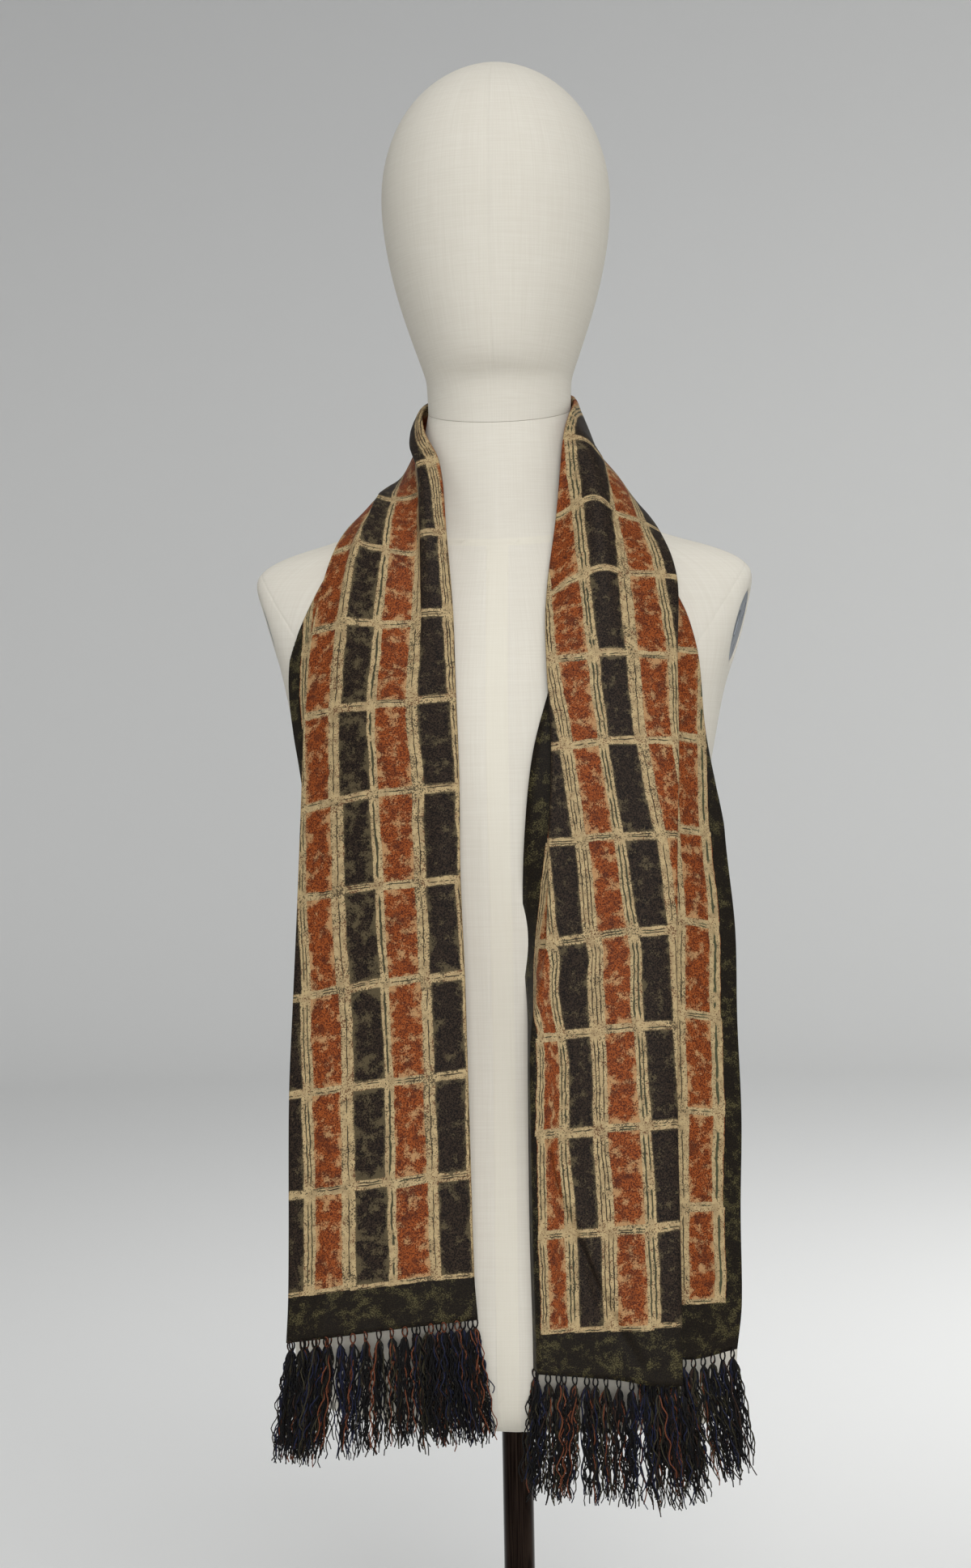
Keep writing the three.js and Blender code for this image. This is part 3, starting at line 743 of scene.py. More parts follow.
head_seam = sew(
    head_bm, (0, 0, 0), (1, 0, 0), FACE_SEAM_DEPTH, FACE_SEAM_HALF,
    lambda c: c.y < 0.01 and c.z > 1.034)
close_rims(head_bm)
print("head:", len(head_bm.faces), "faces,", head_seam, "points on the face seam")

# %% [markdown]
# The torso has more sewing: a yoke seam round the base of the neck, a raised band down the centre
# front and a seam that runs in from each shoulder tip. Each shoulder ends in a flat, and an oval
# seat is sunk into the flat for the steel plate. A boolean cut suits the seat: the cutter is an
# oval prism that flares at its open end, so the cut leaves a sloping rim that catches the light.

# %% Tools for the shoulder seats
ARM_LEAN = math.radians(16)
ARM_TOE = math.radians(9)
ARM_CENTRE = Vector((178, 2, 853)) * MM
SEAT_DROP = 7
SEAT_HIGH = 57
SEAT_DEEP = 39
SEAT_SUNK = 2.4
RIM_START = -0.9
RIM_TOP = 3
RIM_FLARE = 1.1
OVAL_SIDES = 64


def arm_place(side):
    """Takes millimetres up, across and out at a shoulder's flat to their place on the torso."""
    normal = Vector((
        side * math.cos(ARM_LEAN) * math.cos(ARM_TOE),
        -math.cos(ARM_LEAN) * math.sin(ARM_TOE),
        -math.sin(ARM_LEAN),
    ))
    across = (Vector((0, 1, 0)) - normal * normal.y).normalized()
    upward = normal.cross(across) * side
    place = Matrix((upward, across, normal)).transposed().to_4x4()
    middle = Vector((side * ARM_CENTRE.x, ARM_CENTRE.y, ARM_CENTRE.z))
    place.translation = middle - upward * SEAT_DROP * MM
    return place @ Matrix.Scale(MM, 4)


def grow(bm, faces, rise, scale=(1, 1, 1)):
    """Pulls faces out into a further length of a prism, and returns its new end."""
    made = bmesh.ops.extrude_face_region(bm, geom=faces)["geom"]
    verts = [v for v in made if isinstance(v, bmesh.types.BMVert)]
    bmesh.ops.scale(bm, vec=scale, verts=verts)
    bmesh.ops.translate(bm, vec=(0, 0, rise), verts=verts)
    return [f for f in made if isinstance(f, bmesh.types.BMFace)]


def oval(bm, high, deep, low, top):
    """An oval prism, and its end face."""
    made = bmesh.ops.create_circle(bm, cap_ends=True, radius=0.5, segments=OVAL_SIDES)
    bmesh.ops.scale(bm, vec=(high, deep, 1), verts=made["verts"])
    bmesh.ops.translate(bm, vec=(0, 0, low), verts=made["verts"])
    return grow(bm, list(made["verts"][0].link_faces), top - low)


def cut_out(bm, cutter_bm, edge_width=0):
    """The first mesh less the second, with bevelled edges where a width is given."""
    bmesh.ops.recalc_face_normals(cutter_bm, faces=cutter_bm.faces)
    whole = on_bench("whole", to_mesh("whole", bm))
    cutter = on_bench("cutter", to_mesh("cutter", cutter_bm))
    cut = whole.modifiers.new("cut", "BOOLEAN")
    cut.object = cutter
    cut.solver = "EXACT"
    if edge_width:
        edge = whole.modifiers.new("edge", "BEVEL")
        edge.width = edge_width
        edge.segments = 2
        edge.limit_method = "ANGLE"
    return finished_mesh(whole, cutter)


print("seat:", SEAT_HIGH, "by", SEAT_DEEP, "mm, sunk", SEAT_SUNK, "mm")

# %% [markdown]
# The shell is closed before it is cut, because a boolean needs a solid. The seams come last, and
# the yoke seam is the one that stands out, because two layers of cloth end in it.

# %% Torso: cut and sewn
YOKE_FRONT = Vector((0, -62, 907)) * MM
YOKE_NORMAL = Vector((0, -0.30, 1)).normalized()
YOKE_RISE = 0.3 * MM
YOKE_HALF = 3 * MM
BAND_HALF = 8.1 * MM
SEAM_DEPTH = 0.3 * MM
SEAM_HALF = 0.8 * MM
SHOULDER_TIP = (0.174, 0, 0.884)
SHOULDER_SLOPE = (0.78, 0.2, -0.62)
SHOULDER_DEPTH = 0.35 * MM

shell_bm = rounded(merged_copy("form_torso", NECK_AXIS))
close_rims(shell_bm)
seats_bm = bmesh.new()
for side in (-1, 1):
    before = set(seats_bm.verts)
    end = oval(seats_bm, SEAT_HIGH, SEAT_DEEP, -SEAT_SUNK, RIM_START)
    grow(seats_bm, end, RIM_TOP - RIM_START, (RIM_FLARE, RIM_FLARE, 1))
    bmesh.ops.delete(seats_bm, geom=end, context="FACES_ONLY")
    seat = [v for v in seats_bm.verts if v not in before]
    bmesh.ops.transform(seats_bm, matrix=arm_place(side), verts=seat)
torso_bm = bmesh.new()
torso_bm.from_mesh(cut_out(shell_bm, seats_bm))
print("torso with seats:", len(torso_bm.faces), "faces")

sew(torso_bm, YOKE_FRONT, YOKE_NORMAL, -YOKE_RISE, YOKE_HALF,
    lambda c: 0.88 < c.z < 0.96 and abs(c.x) < 0.09)
for x in (-BAND_HALF, BAND_HALF):
    sew(torso_bm, (x, 0, 0), (1, 0, 0), SEAM_DEPTH, SEAM_HALF,
        lambda c: c.y < 0 and c.z < 0.903 and abs(c.x) < 0.03)
for side in (-1, 1):
    tip = (side * SHOULDER_TIP[0], *SHOULDER_TIP[1:])
    slope = (side * SHOULDER_SLOPE[0], *SHOULDER_SLOPE[1:])
    sew(torso_bm, tip, slope, SHOULDER_DEPTH, SEAM_HALF,
        lambda c, side=side: c.x * side > 0.06 and c.z > 0.72 and c.y < 0)
print("torso:", len(torso_bm.faces), "faces")

# %% [markdown]
# Linen needs threads that follow the surface, so both pieces get a map: round the form is one
# axis, up is the other, with its seam at the centre back.

# %% Map for the linen
MAP_RADIUS = 0.11
SHARP_CLOTH = math.radians(50)


def wrap_map(mesh):
    """Gives a mesh a map that runs round the form and up it, in metres."""
    layer = mesh.uv_layers.new(name="cloth")
    for face in mesh.polygons:
        turns = []
        for index in face.loop_indices:
            place = mesh.vertices[mesh.loops[index].vertex_index].co
            turns.append(math.atan2(place.x, -place.y))
        if max(turns) - min(turns) > math.pi:
            turns = [a + 2 * math.pi if a < 0 else a for a in turns]
        for index, angle in zip(face.loop_indices, turns):
            height = mesh.vertices[mesh.loops[index].vertex_index].co.z
            layer.data[index].uv = (angle * MAP_RADIUS, height)


head_mesh = to_mesh("head", head_bm)
torso_mesh = to_mesh("torso", torso_bm)
for mesh in (head_mesh, torso_mesh):
    wrap_map(mesh)
head = add_piece("head", head_mesh, ("form_head",))
torso = add_piece("torso", torso_mesh, ("form_torso",))
for mesh in (head_mesh, torso_mesh):
    mesh.set_sharp_from_angle(angle=SHARP_CLOTH)

# %% [markdown]
# ## Metal parts
#
# The pole and the base are turned parts, so each is one profile spun round the vertical axis. The
# base's corners are bevelled in the profile itself, because a real turned plate never has a
# knife edge.

# %% Pole and base
BASE_PROFILE = ((0, 0), (149, 0), (150, 1), (150, 5), (149, 6), (24, 10), (21, 11.5), (20, 14),
                (20, 28.8), (18.8, 30), (12.4, 30), (11.8, 29.4), (11.8, 4), (0, 4))
POLE_PROFILE = ((0, 4.3), (11, 4.3), (11.5, 4.8), (11.5, 90), (11.5, 175), (11.5, 259.2),
                (11, 259.7), (0, 259.7))
BASE_SIDES = 96
POLE_SIDES = 64
SHARP_METAL = math.radians(30)


def turned(name, profile, sides):
    """A profile of (radius, height) points spun round the vertical axis."""
    bm = bmesh.new()
    points = [bm.verts.new((r * MM, 0, z * MM)) for r, z in profile]
    edges = [bm.edges.new(pair) for pair in zip(points, points[1:])]
    bmesh.ops.spin(
        bm, geom=points + edges, cent=(0, 0, 0), axis=(0, 0, 1), angle=2 * math.pi,
        steps=sides, use_merge=True, use_duplicate=False)
    bmesh.ops.remove_doubles(bm, verts=bm.verts, dist=1e-6)
    bmesh.ops.recalc_face_normals(bm, faces=bm.faces)
    return to_mesh(name, bm)


base = add_piece("base", turned("base", BASE_PROFILE, BASE_SIDES), ("stand_base",))
pole = add_piece("pole", turned("pole", POLE_PROFILE, POLE_SIDES), ("stand_pole",))
for piece in (base, pole):
    piece.data.set_sharp_from_angle(angle=SHARP_METAL)

# %% [markdown]
# A pressed steel plate covers each arm joint. It is an oval with three slots, in which the arm of
# a full mannequin would hook. The slots are cut out by a boolean and every edge is bevelled, since
# a pressed edge is never quite sharp.

# %% Arm plates
PLATE_HIGH = 54
PLATE_DEEP = 36
PLATE_THICK = 1.2
PLATE_EDGE = 0.3
PLATE_GAP = 0.2
SLOT_SIDES = 20
# place up and across from the middle, length and breadth of each slot
SLOTS = ((1.5, -7.5, 21, 7.5), (13, 7.5, 12, 2.8), (-16, 3.5, 5, 2.8))


def stadium(bm, up_at, across_at, length, breadth, low, top):
    """A slot-shaped prism: two round ends joined by flats."""
    made = bmesh.ops.create_circle(bm, cap_ends=True, radius=breadth / 2, segments=SLOT_SIDES)
    shift = (length - breadth) / 2
    for vertex in made["verts"]:
        vertex.co.x += shift if vertex.co.x > 0 else -shift
        vertex.co += Vector((up_at, across_at, low))
    grow(bm, list(made["verts"][0].link_faces), top - low)


def arm_plate(side):
    """An oval plate with bevelled edges and slots, lying in a shoulder's seat."""
    plate_bm = bmesh.new()
    low = PLATE_GAP - SEAT_SUNK
    oval(plate_bm, PLATE_HIGH, PLATE_DEEP, low, low + PLATE_THICK)
    bmesh.ops.recalc_face_normals(plate_bm, faces=plate_bm.faces)
    slots_bm = bmesh.new()
    for slot in SLOTS:
        stadium(slots_bm, *slot, low - 1, low + PLATE_THICK + 1)
    mesh = cut_out(plate_bm, slots_bm, PLATE_EDGE)
    place = arm_place(side)
    mesh.transform(place)
    if place.determinant() < 0:
        mesh.flip_normals()
    return mesh


for side, label in ((-1, "left"), (1, "right")):
    plate = add_piece(f"plate_{label}", arm_plate(side), (f"arm_plate_{label}",))
    plate.data.set_sharp_from_angle(angle=SHARP_METAL)

# %% [markdown]
# ## Fringe
#
# Each hem carries a row of tassels. A tassel is a small twisted loop of yarn caught in the hem,
# from which some two dozen crinkled strands hang. Curves are the natural tool: a strand is a path
# of two dozen points with a thin square bevel, and one object holds the whole fringe. Hair would
# be quicker to comb, but a path keeps the thickness and the colour of every yarn. The strands are
# square in section, because thousands of them must stay light.

# %% Yarn paths
STRAND_RADIUS = 0.54
STRAND_POINTS = 23
LOOP_POINTS = 12
LOOP_LONG = 7
LOOP_WIDE = 3.6
LOOP_SUNK = 1.2
LOOP_RADII = (0.62, 0.48)
YARN_SHARES = (
    ("yarn_black", 0.58), ("yarn_navy", 0.14), ("yarn_rust", 0.07), ("yarn_olive", 0.11),
    ("yarn_brown", 0.10))
# the yarns a loop may be twisted from, besides black
LOOP_YARNS = (0, 2, 4)
yarns = [bpy.data.materials.new(name) for name, _ in YARN_SHARES]


def add_path(curve, points, radii, colour, closed=False):
    """One strand of yarn as a path with a thickness at each point."""
    path = curve.splines.new("POLY")
    path.points.add(len(points) - 1)
    for point, place, radius in zip(path.points, points, radii):
        point.co = (*(np.asarray(place) * MM), 1)
        point.radius = radius
    path.use_cyclic_u = closed
    path.use_smooth = True
    path.material_index = colour


def add_loop(curve, hem, side, layer, colour):
    """One of the two twisted yarns of the loop that holds a tassel to the hem."""
    ring = []
    for k in range(LOOP_POINTS):
        a = 2 * math.pi * (k + 0.5 * layer) / LOOP_POINTS
        twist = 0.9 * math.sin(2 * a + 1.5 * layer)
        out = np.array([-side[1], side[0], 0]) * (0.6 * layer + twist * 0.5)
        drop = np.array([0, 0, -LOOP_LONG / 2 + LOOP_SUNK + math.cos(a) * LOOP_LONG / 2])
        ring.append(hem + side * math.sin(a) * LOOP_WIDE / 2 + out + drop)
    add_path(curve, ring, [LOOP_RADII[layer]] * LOOP_POINTS, colour, closed=True)


print("yarns:", [material.name for material in yarns])

# %% [markdown]
# Real yarn was twisted for years, so a strand keeps a crinkle of a millimetre or two, wanders a
# little and ends where it was cut or frayed. The strands of a tassel open within the first few
# millimetres, so that the tassels close up into one curtain. The random numbers are seeded, so
# the fringe is the same each time.

# %% Strands
SHORT_SHARE = 0.15
SPREAD_DEEP = (-6, 5)
OPENING = 6


def add_strand(curve, rng, start, lean, reach):
    """One crinkled strand that hangs from the end of a loop."""
    shares = [share for _, share in YARN_SHARES]
    colour = rng.choices(range(len(shares)), shares)[0]
    length = reach * rng.uniform(0.8, 1.0) - LOOP_LONG
    if rng.random() < SHORT_SHARE:
        length *= rng.uniform(0.6, 0.9)
    spread = np.array([rng.uniform(-1, 1) * rng.uniform(3.5, 9), rng.gauss(0, 2.6), 0])
    spread[1] = min(max(spread[1], SPREAD_DEEP[0]), SPREAD_DEEP[1])
    phase = rng.uniform(0, 6.28)
    crinkle = rng.uniform(0.5, 1.9)
    wave = rng.uniform(14, 28)
    drift = np.zeros(3)
    places, radii = [], []
    for k in range(STRAND_POINTS):
        s = k / (STRAND_POINTS - 1)
        opened = min(s * OPENING, 1)
        drift = drift + np.array([rng.gauss(0, 0.34), rng.gauss(0, 0.25), 0])
        ripple = crinkle * math.sin(phase + s * length / wave * 6.28)
        sway = crinkle * math.cos(phase * 2 + s * 19)
        place = start + lean * s ** 1.3 + spread * s ** 0.4 + drift
        places.append(place + np.array([ripple * opened, sway * opened, -s * length]))
        radii.append(STRAND_RADIUS * (1.1 - 0.3 * s))
    add_path(curve, places, radii, colour)


print(STRAND_POINTS, "points to a strand")

# %% [markdown]
# The hem's own points place the loops, so the tassels follow every fold of the cloth. Each loop
# is turned a little at random, as a loop sewn by hand would be.

# %% Tassels
TASSEL_COUNT = 28
TASSEL_EDGE = 4
STRANDS = 26
FRINGE_LONG = 94


def fringe(name, node, row, flare, seed):
    """The tassels along one hem, as one piece."""
    rng = random.Random(seed)
    curve = bpy.data.curves.new(name, "CURVE")
    curve.dimensions = "3D"
    curve.bevel_depth = MM
    curve.bevel_resolution = 0
    curve.use_fill_caps = True
    for material in yarns:
        curve.materials.append(material)
    widths = np.linspace(TASSEL_EDGE, SCARF_WIDTH - TASSEL_EDGE, TASSEL_COUNT)
    hems = cloth_points(row, widths)
    runs = cloth_points(row, widths + 1) - hems
    for hem, run, u in zip(hems, runs, widths):
        run = run / np.linalg.norm(run)
        turn = rng.uniform(-0.9, 0.9)
        side = np.array([run[0] * math.cos(turn) - run[1] * math.sin(turn),
                         run[0] * math.sin(turn) + run[1] * math.cos(turn), 0])
        add_loop(curve, hem, side, 0, 0)
        add_loop(curve, hem, side, 1, rng.choice(LOOP_YARNS))
        start = hem + np.array([0, 0, 1.4 - LOOP_LONG])
        lean = np.array([flare(u) + rng.gauss(0, 3.0), rng.gauss(0, 1.6), 0])
        reach = FRINGE_LONG * rng.uniform(0.9, 1.0)
        for _ in range(STRANDS):
            add_strand(curve, rng, start, lean, reach)
    mesh = finished_mesh(on_bench(name, curve))
    piece = add_piece(name, mesh, (node,))
    print(name, "lowest point", round(min(v.co.z for v in mesh.vertices) / MM, 1), "mm")
    return piece


def left_flare(u):
    """The left fringe spreads outwards at both ends."""
    return float(-11 * smoothstep(110, 200, u) + 9 * (1 - smoothstep(48, 90, u)))


def right_flare(u):
    """The right fringe leans a little outwards."""
    return float(-5 * (1 - smoothstep(20, 60, u)) + 9 * smoothstep(90, 125, u))


left_fringe = fringe("left_fringe", "fringe_left", FIRST_ROW, left_flare, 11)
right_fringe = fringe("right_fringe", "fringe_right", LAST_ROW, right_flare, 23)

# %% [markdown]
# ## The woven ground
#
# Linen and silk are both woven, so one node group makes the weave: two sets of threads whose
# crossing gives the height, and long thin streaks where a thread is thicker than its neighbours.
# Each material then says how coarse its threads are.

# %% Shared group: a weave
def new_group(name, inputs, outputs):
    """An empty node group with number or vector inputs and outputs."""
    tree = bpy.data.node_groups.new(name, "ShaderNodeTree")
    kinds = {"vector": "NodeSocketVector", "number": "NodeSocketFloat"}
    for direction, sockets in (("INPUT", inputs), ("OUTPUT", outputs)):
        for label, kind in sockets:
            tree.interface.new_socket(name=label, in_out=direction, socket_type=kinds[kind])
    entry = tree.nodes.new("NodeGroupInput")
    leave = tree.nodes.new("NodeGroupOutput")
    return tree, {s.name: Signal(tree, s) for s in entry.outputs}, leave


def placed(tree, group, **values):
    """A node group set into a material, with its outputs by name."""
    node = tree.nodes.new("ShaderNodeGroup")
    node.node_tree = group
    for label, value in values.items():
        feed(tree, node.inputs[label], value)
    return {s.name: Signal(tree, s) for s in node.outputs}


SLUB_SIZE = 0.9
SLUB_STRETCH = 45

weave, given, leave = new_group(
    "weave", [("Place", "vector"), ("Thread", "number")],
    [("Height", "number"), ("Slubs", "number")])
across, along, _ = parted(weave, given["Place"])
warp = (across / given["Thread"] * math.pi).maths("SINE")
weft = (along / given["Thread"] * math.pi).maths("SINE")
standing = noise(weave, joined(weave, across, along / SLUB_STRETCH, 3), SLUB_SIZE, 2)
lying = noise(weave, joined(weave, across / SLUB_STRETCH, along, 7), SLUB_SIZE, 2)
slubs = standing * 0.5 + lying * 0.5
feed(weave, leave.inputs["Height"], warp * weft * 0.5 + slubs)
feed(weave, leave.inputs["Slubs"], slubs)
print("weave nodes:", len(weave.nodes))

# %% [markdown]
# Hand-printed colour is never even. The second shared group gives worn patches, which are clouds
# cut at a threshold and gather near a block's edge, and the fine grain of a dry brush. Blocks and
# border both use it.

# %% Shared group: mottled paint
CLOUD_SIZE = 10
GRAIN_SIZE = 0.85

mottle, given, leave = new_group(
    "mottle", [("Place", "vector"), ("Edge", "number"), ("Amount", "number")],
    [("Patches", "number"), ("Grain", "number")])
clouds = noise(mottle, given["Place"], CLOUD_SIZE, 4, 0.62)
grain = noise(mottle, given["Place"], GRAIN_SIZE, 2, 0.6)
near_edge = given["Edge"].ramp(4, 0) * 0.09
patchy = clouds + near_edge + (grain - 0.5) * 0.42 + given["Amount"]
feed(mottle, leave.inputs["Patches"], patchy.ramp(0.52, 0.68))
feed(mottle, leave.inputs["Grain"], grain)
print("groups:", [g.name for g in bpy.data.node_groups])

# %% [markdown]
# ## The printed silk
#
# The print is a block check: rust and dark blocks between tan bars, with fine pen lines on the
# bars and a dark olive border. It is worked out in the cloth's own millimetres. Each bar is a
# distance from its middle line, and small random shifts in every cell make it look drawn by hand.
# Edges are broken with fine noise. The print is a common one of its kind and nobody's own: only
# the colours, the scale and the order of the columns are set, and chance does the rest.

# %% Inks and material helpers
TAN = ink(189, 166, 124)
TAN_DEEP = ink(160, 138, 102)
RUST = ink(152, 78, 34)
RUST_DEEP = ink(80, 34, 16)
RUST_DARK = ink(62, 30, 20)
RUST_WORN = ink(190, 152, 106)
CHARCOAL = ink(14, 10, 8)
CHARCOAL_WARM = ink(56, 44, 34)
OLIVE = ink(104, 92, 67)
LINE_DARK = ink(34, 29, 22)
LINE_GREEN = ink(56, 64, 46)
BORDER = ink(36, 30, 20)
BORDER_CLOUD = ink(104, 96, 62)


def new_material(name):
    """A material with a Principled shader, and its tree."""
    material = bpy.data.materials.new(name)
    material.use_nodes = True
    tree = material.node_tree
    return material, tree, tree.nodes["Principled BSDF"]


def set_bump(tree, shader, height, strength, distance):
    """Feeds a height to the shader's normal."""
    node = tree.nodes.new("ShaderNodeBump")
    node.inputs["Strength"].default_value = strength
    node.inputs["Distance"].default_value = distance
    feed(tree, node.inputs["Height"], height)
    tree.links.new(node.outputs[0], shader.inputs["Normal"])


def cloth_place(tree):
    """The cloth's own places across and along, in millimetres."""
    node = tree.nodes.new("ShaderNodeUVMap")
    node.uv_map = "cloth"
    u, v, _ = parted(tree, Signal(tree, node.outputs[0]))
    return u / MM, v / MM


def is_near(value, number):
    """1 where a whole value is this number, else 0."""
    return (value - number).abs().ramp(0.5, 0.1)


print("inks ready, rust is", [round(value, 3) for value in RUST[:3]])

# %% [markdown]
# The tails show different columns, and a maker never draws two bars alike, so a small table gives
# each bar its breadth and character. A colour ramp with hard steps works as that table. Slow noise
# bends every straight line a little, as an unsteady brush would, and fine noise frays its edges.

# %% Silk: what each bar is like
TABLE_SCALE = 8


def pick(number, table):
    """Three values that belong to a whole number, from a table."""
    node = tree.nodes.new("ShaderNodeValToRGB")
    node.color_ramp.interpolation = "CONSTANT"
    stops = node.color_ramp.elements
    while len(stops) < len(table):
        stops.new(0.5)
    for index, (stop, values) in enumerate(zip(stops, table)):
        stop.position = index / len(table)
        stop.color = (*(value / TABLE_SCALE for value in values), 1)
    feed(tree, node.inputs[0], (number + 0.5) / len(table))
    return [part * TABLE_SCALE for part in parted(tree, Signal(tree, node.outputs[0]))]


# half the breadth of each bar in mm, how speckled it is and how green its lines are
LEFT_BARS = ((2.8, 0.2, 0), (4.6, 0.5, 0), (4.0, 1.0, 0), (3.4, 0.2, 0.5),
             (4.9, 1.0, 0), (4.1, 0.3, 0.4), (4.4, 0.4, 0), (4.6, 0.0, 0.8))
RIGHT_BARS = ((2.8, 0.0, 0.2), (4.4, 0.5, 0.5), (5.5, 0.5, 0), (4.3, 0.3, 0.6),
              (4.7, 0.9, 0), (4.5, 0.4, 0.5), (4.4, 0.7, 0.2), (4.5, 0.0, 1.0))
BARS = LEFT_BARS + RIGHT_BARS

silk, tree, silk_shader = new_material("printed_silk")
u, v = cloth_place(tree)


def layer(seed):
    """The cloth's place, in a slice of the noise that belongs to one use."""
    return joined(tree, u, v, seed * 41.0)


wobble_u = (noise(tree, layer(1), 24, 1) - 0.5) * 2.6 + (noise(tree, layer(2), 5, 1) - 0.5) * 1.3
wobble_v = (noise(tree, layer(3), 24, 1) - 0.5) * 2.2 + (noise(tree, layer(4), 5, 1) - 0.5) * 1.3
ragged = (noise(tree, layer(5), 1.2, 2, 0.7) - 0.5) * 1.8

print("a table of", len(BARS), "bars")

# %% [markdown]
# The bars are 30 mm apart and the rows 69.5 mm. Rounding a place to the nearest bar gives the bar's
# number, and what is left over is the distance from its middle. Random numbers that belong to one
# cell shift and tilt its lines a little. The tan share is 1 on a bar or a row and 0 on a block.

# %% Silk: bars and rows
BAR_FIRST = 19
BAR_PITCH = 30
BAR_LAST = 7
CROSS_HALF = 3.1
LAST_CROSS = 24
FIRST_BAR_SHIFT = 1.9
HALF_LENGTH = 12 * ROW_PITCH

bar = ((u - (BAR_FIRST - BAR_PITCH / 2)) / BAR_PITCH).floor().clip(0, BAR_LAST)
row = (v / ROW_PITCH).floor().clip(0, LAST_CROSS - 1)
row_part = v / ROW_PITCH - row
bar_dice = dice(tree, bar, row, 1)
shift_u = wobble_u + (bar_dice[0] - 0.5) * 1.8 + (bar_dice[1] - 0.5) * (row_part - 0.5) * 2.6
first_bar = is_near(bar, 0)
from_bar = u - (bar * BAR_PITCH + BAR_FIRST) - first_bar * FIRST_BAR_SHIFT + shift_u
right_end = v.ramp(HALF_LENGTH - 1, HALF_LENGTH + 1)
drawn_bar = bar + right_end * (BAR_LAST + 1)
half_breadth, speckled, greenish = pick(drawn_bar, BARS)
bar_half = half_breadth + (bar_dice[2] - 0.5) * 0.8
in_bar = bar_half - from_bar.abs()

cross = (v / ROW_PITCH + 0.5).floor().clip(0, LAST_CROSS)
block = ((u - BAR_FIRST) / BAR_PITCH).floor().clip(0, BAR_LAST - 1)
block_part = (u - BAR_FIRST) / BAR_PITCH - block
cross_dice = dice(tree, cross, block, 2)
shift_v = wobble_v + (cross_dice[0] - 0.5) * 1.6 + (cross_dice[1] - 0.5) * (block_part - 0.5) * 2.8
from_cross = v - cross * ROW_PITCH + shift_v
end_row = is_near(cross, 0) + is_near(cross, LAST_CROSS)
cross_half = end_row * -1.2 + CROSS_HALF + (cross_dice[2] - 0.5) * 0.8
in_cross = cross_half - from_cross.abs()
in_tan = in_bar.most(in_cross)
tan_share = (in_tan + ragged * 0.55).ramp(-0.3, 0.3)
print("bars every", BAR_PITCH, "mm, rows every", ROW_PITCH, "mm")

# %% [markdown]
# Each bar carries one to three thin lines drawn with a pen, and so does each row. A line is the
# distance from its own middle, which sways slowly along the cloth. The pen presses harder in some
# places, lifts before a crossing and skips now and then. Fine speckle on the tan looks like paint
# that did not take.

# %% Silk: pen lines on the bars and between the rows
# lines on each bar, the space between them and half their breadth, both in mm
LEFT_LINES = ((2, 1.9, 0.38), (3, 2.4, 0.38), (1, 3.0, 0.34), (1, 3.0, 0.75),
              (1, 3.0, 0.40), (2, 2.8, 0.42), (2, 3.4, 0.44), (2, 3.0, 0.55))
RIGHT_LINES = ((2, 1.9, 0.38), (2, 3.0, 0.52), (3, 2.9, 0.38), (2, 2.9, 0.60),
               (1, 3.0, 0.36), (2, 2.8, 0.48), (1, 3.0, 0.44), (1, 3.0, 1.00))
PEN_LINES = LEFT_LINES + RIGHT_LINES

lines, line_space, line_half = pick(drawn_bar, PEN_LINES)
half_count = lines * 0.5 - 0.5
nearest = (from_bar / line_space + half_count + 0.5).floor().most(0).least(half_count * 2)
line_id = bar * 8 + nearest
line_dice = dice(tree, line_id, row, 3)
pen_sway = (noise(tree, joined(tree, line_id * 13.7, v, row * 31), 9, 2) - 0.5) * 1.3
pen_slope = (line_dice[0] - 0.5) * 0.9 + (line_dice[1] - 0.5) * (row_part - 0.5) * 1.2
from_line = (from_bar - (nearest - half_count) * line_space + pen_sway + pen_slope).abs()
pen_press = noise(tree, joined(tree, line_id * 7.1, v, row * 17 + 5), 6, 2) * 1.5 + 0.25
row_end = row_part.least(-row_part + 1) * ROW_PITCH - CROSS_HALF - line_dice[2] * 2.5
pen_kept = noise(tree, joined(tree, line_id * 3.3, v, row * 11 + 9), 16, 1).ramp(0.3, 0.36)
pen_half = line_half * pen_press * row_end.ramp(-0.5, 5)
pen_share = (pen_half - from_line).ramp(-0.16, 0.16) * pen_kept * in_bar.ramp(0.1, 0.5)

cross_line_dice = dice(tree, cross, block, 5)
cross_sway = (noise(tree, joined(tree, u, cross * 19, 3), 8, 2) - 0.5) * 1.2
first_line = (from_cross + (cross_line_dice[0] - 0.5) * 2.6 + cross_sway).abs()
second_line = (from_cross + (cross_line_dice[0] - 0.5) * 2.6 - cross_sway - 1.7).abs()
second_line = second_line + cross_line_dice[1].ramp(0.55, 0.5) * 9
block_end = (block_part - 0.2).least(-block_part + 0.82) * BAR_PITCH
cross_kept = noise(tree, joined(tree, u, cross * 23, 7), 7, 1).ramp(0.36, 0.44)
cross_pen = (block_end.ramp(-1.5, 3) * 0.42 - first_line.least(second_line)).ramp(-0.16, 0.16)
cross_share = cross_pen * cross_kept * in_cross.ramp(0.1, 0.4)
line_share = pen_share.most(cross_share)

at_crossing = in_bar.least(in_cross).ramp(0, 1)
speckle_patch = noise(tree, layer(8), 15, 2).ramp(0.42, 0.62) + at_crossing * 0.5
speckle_share = (speckle_patch + in_tan.ramp(1.6, 0.2) * 0.7) * (speckled * 0.8 + 0.35)
speckle = (noise(tree, layer(9), 0.95, 1) + speckle_share * 0.1).ramp(0.61, 0.67)
print("pen lines on", len(PEN_LINES), "bars")

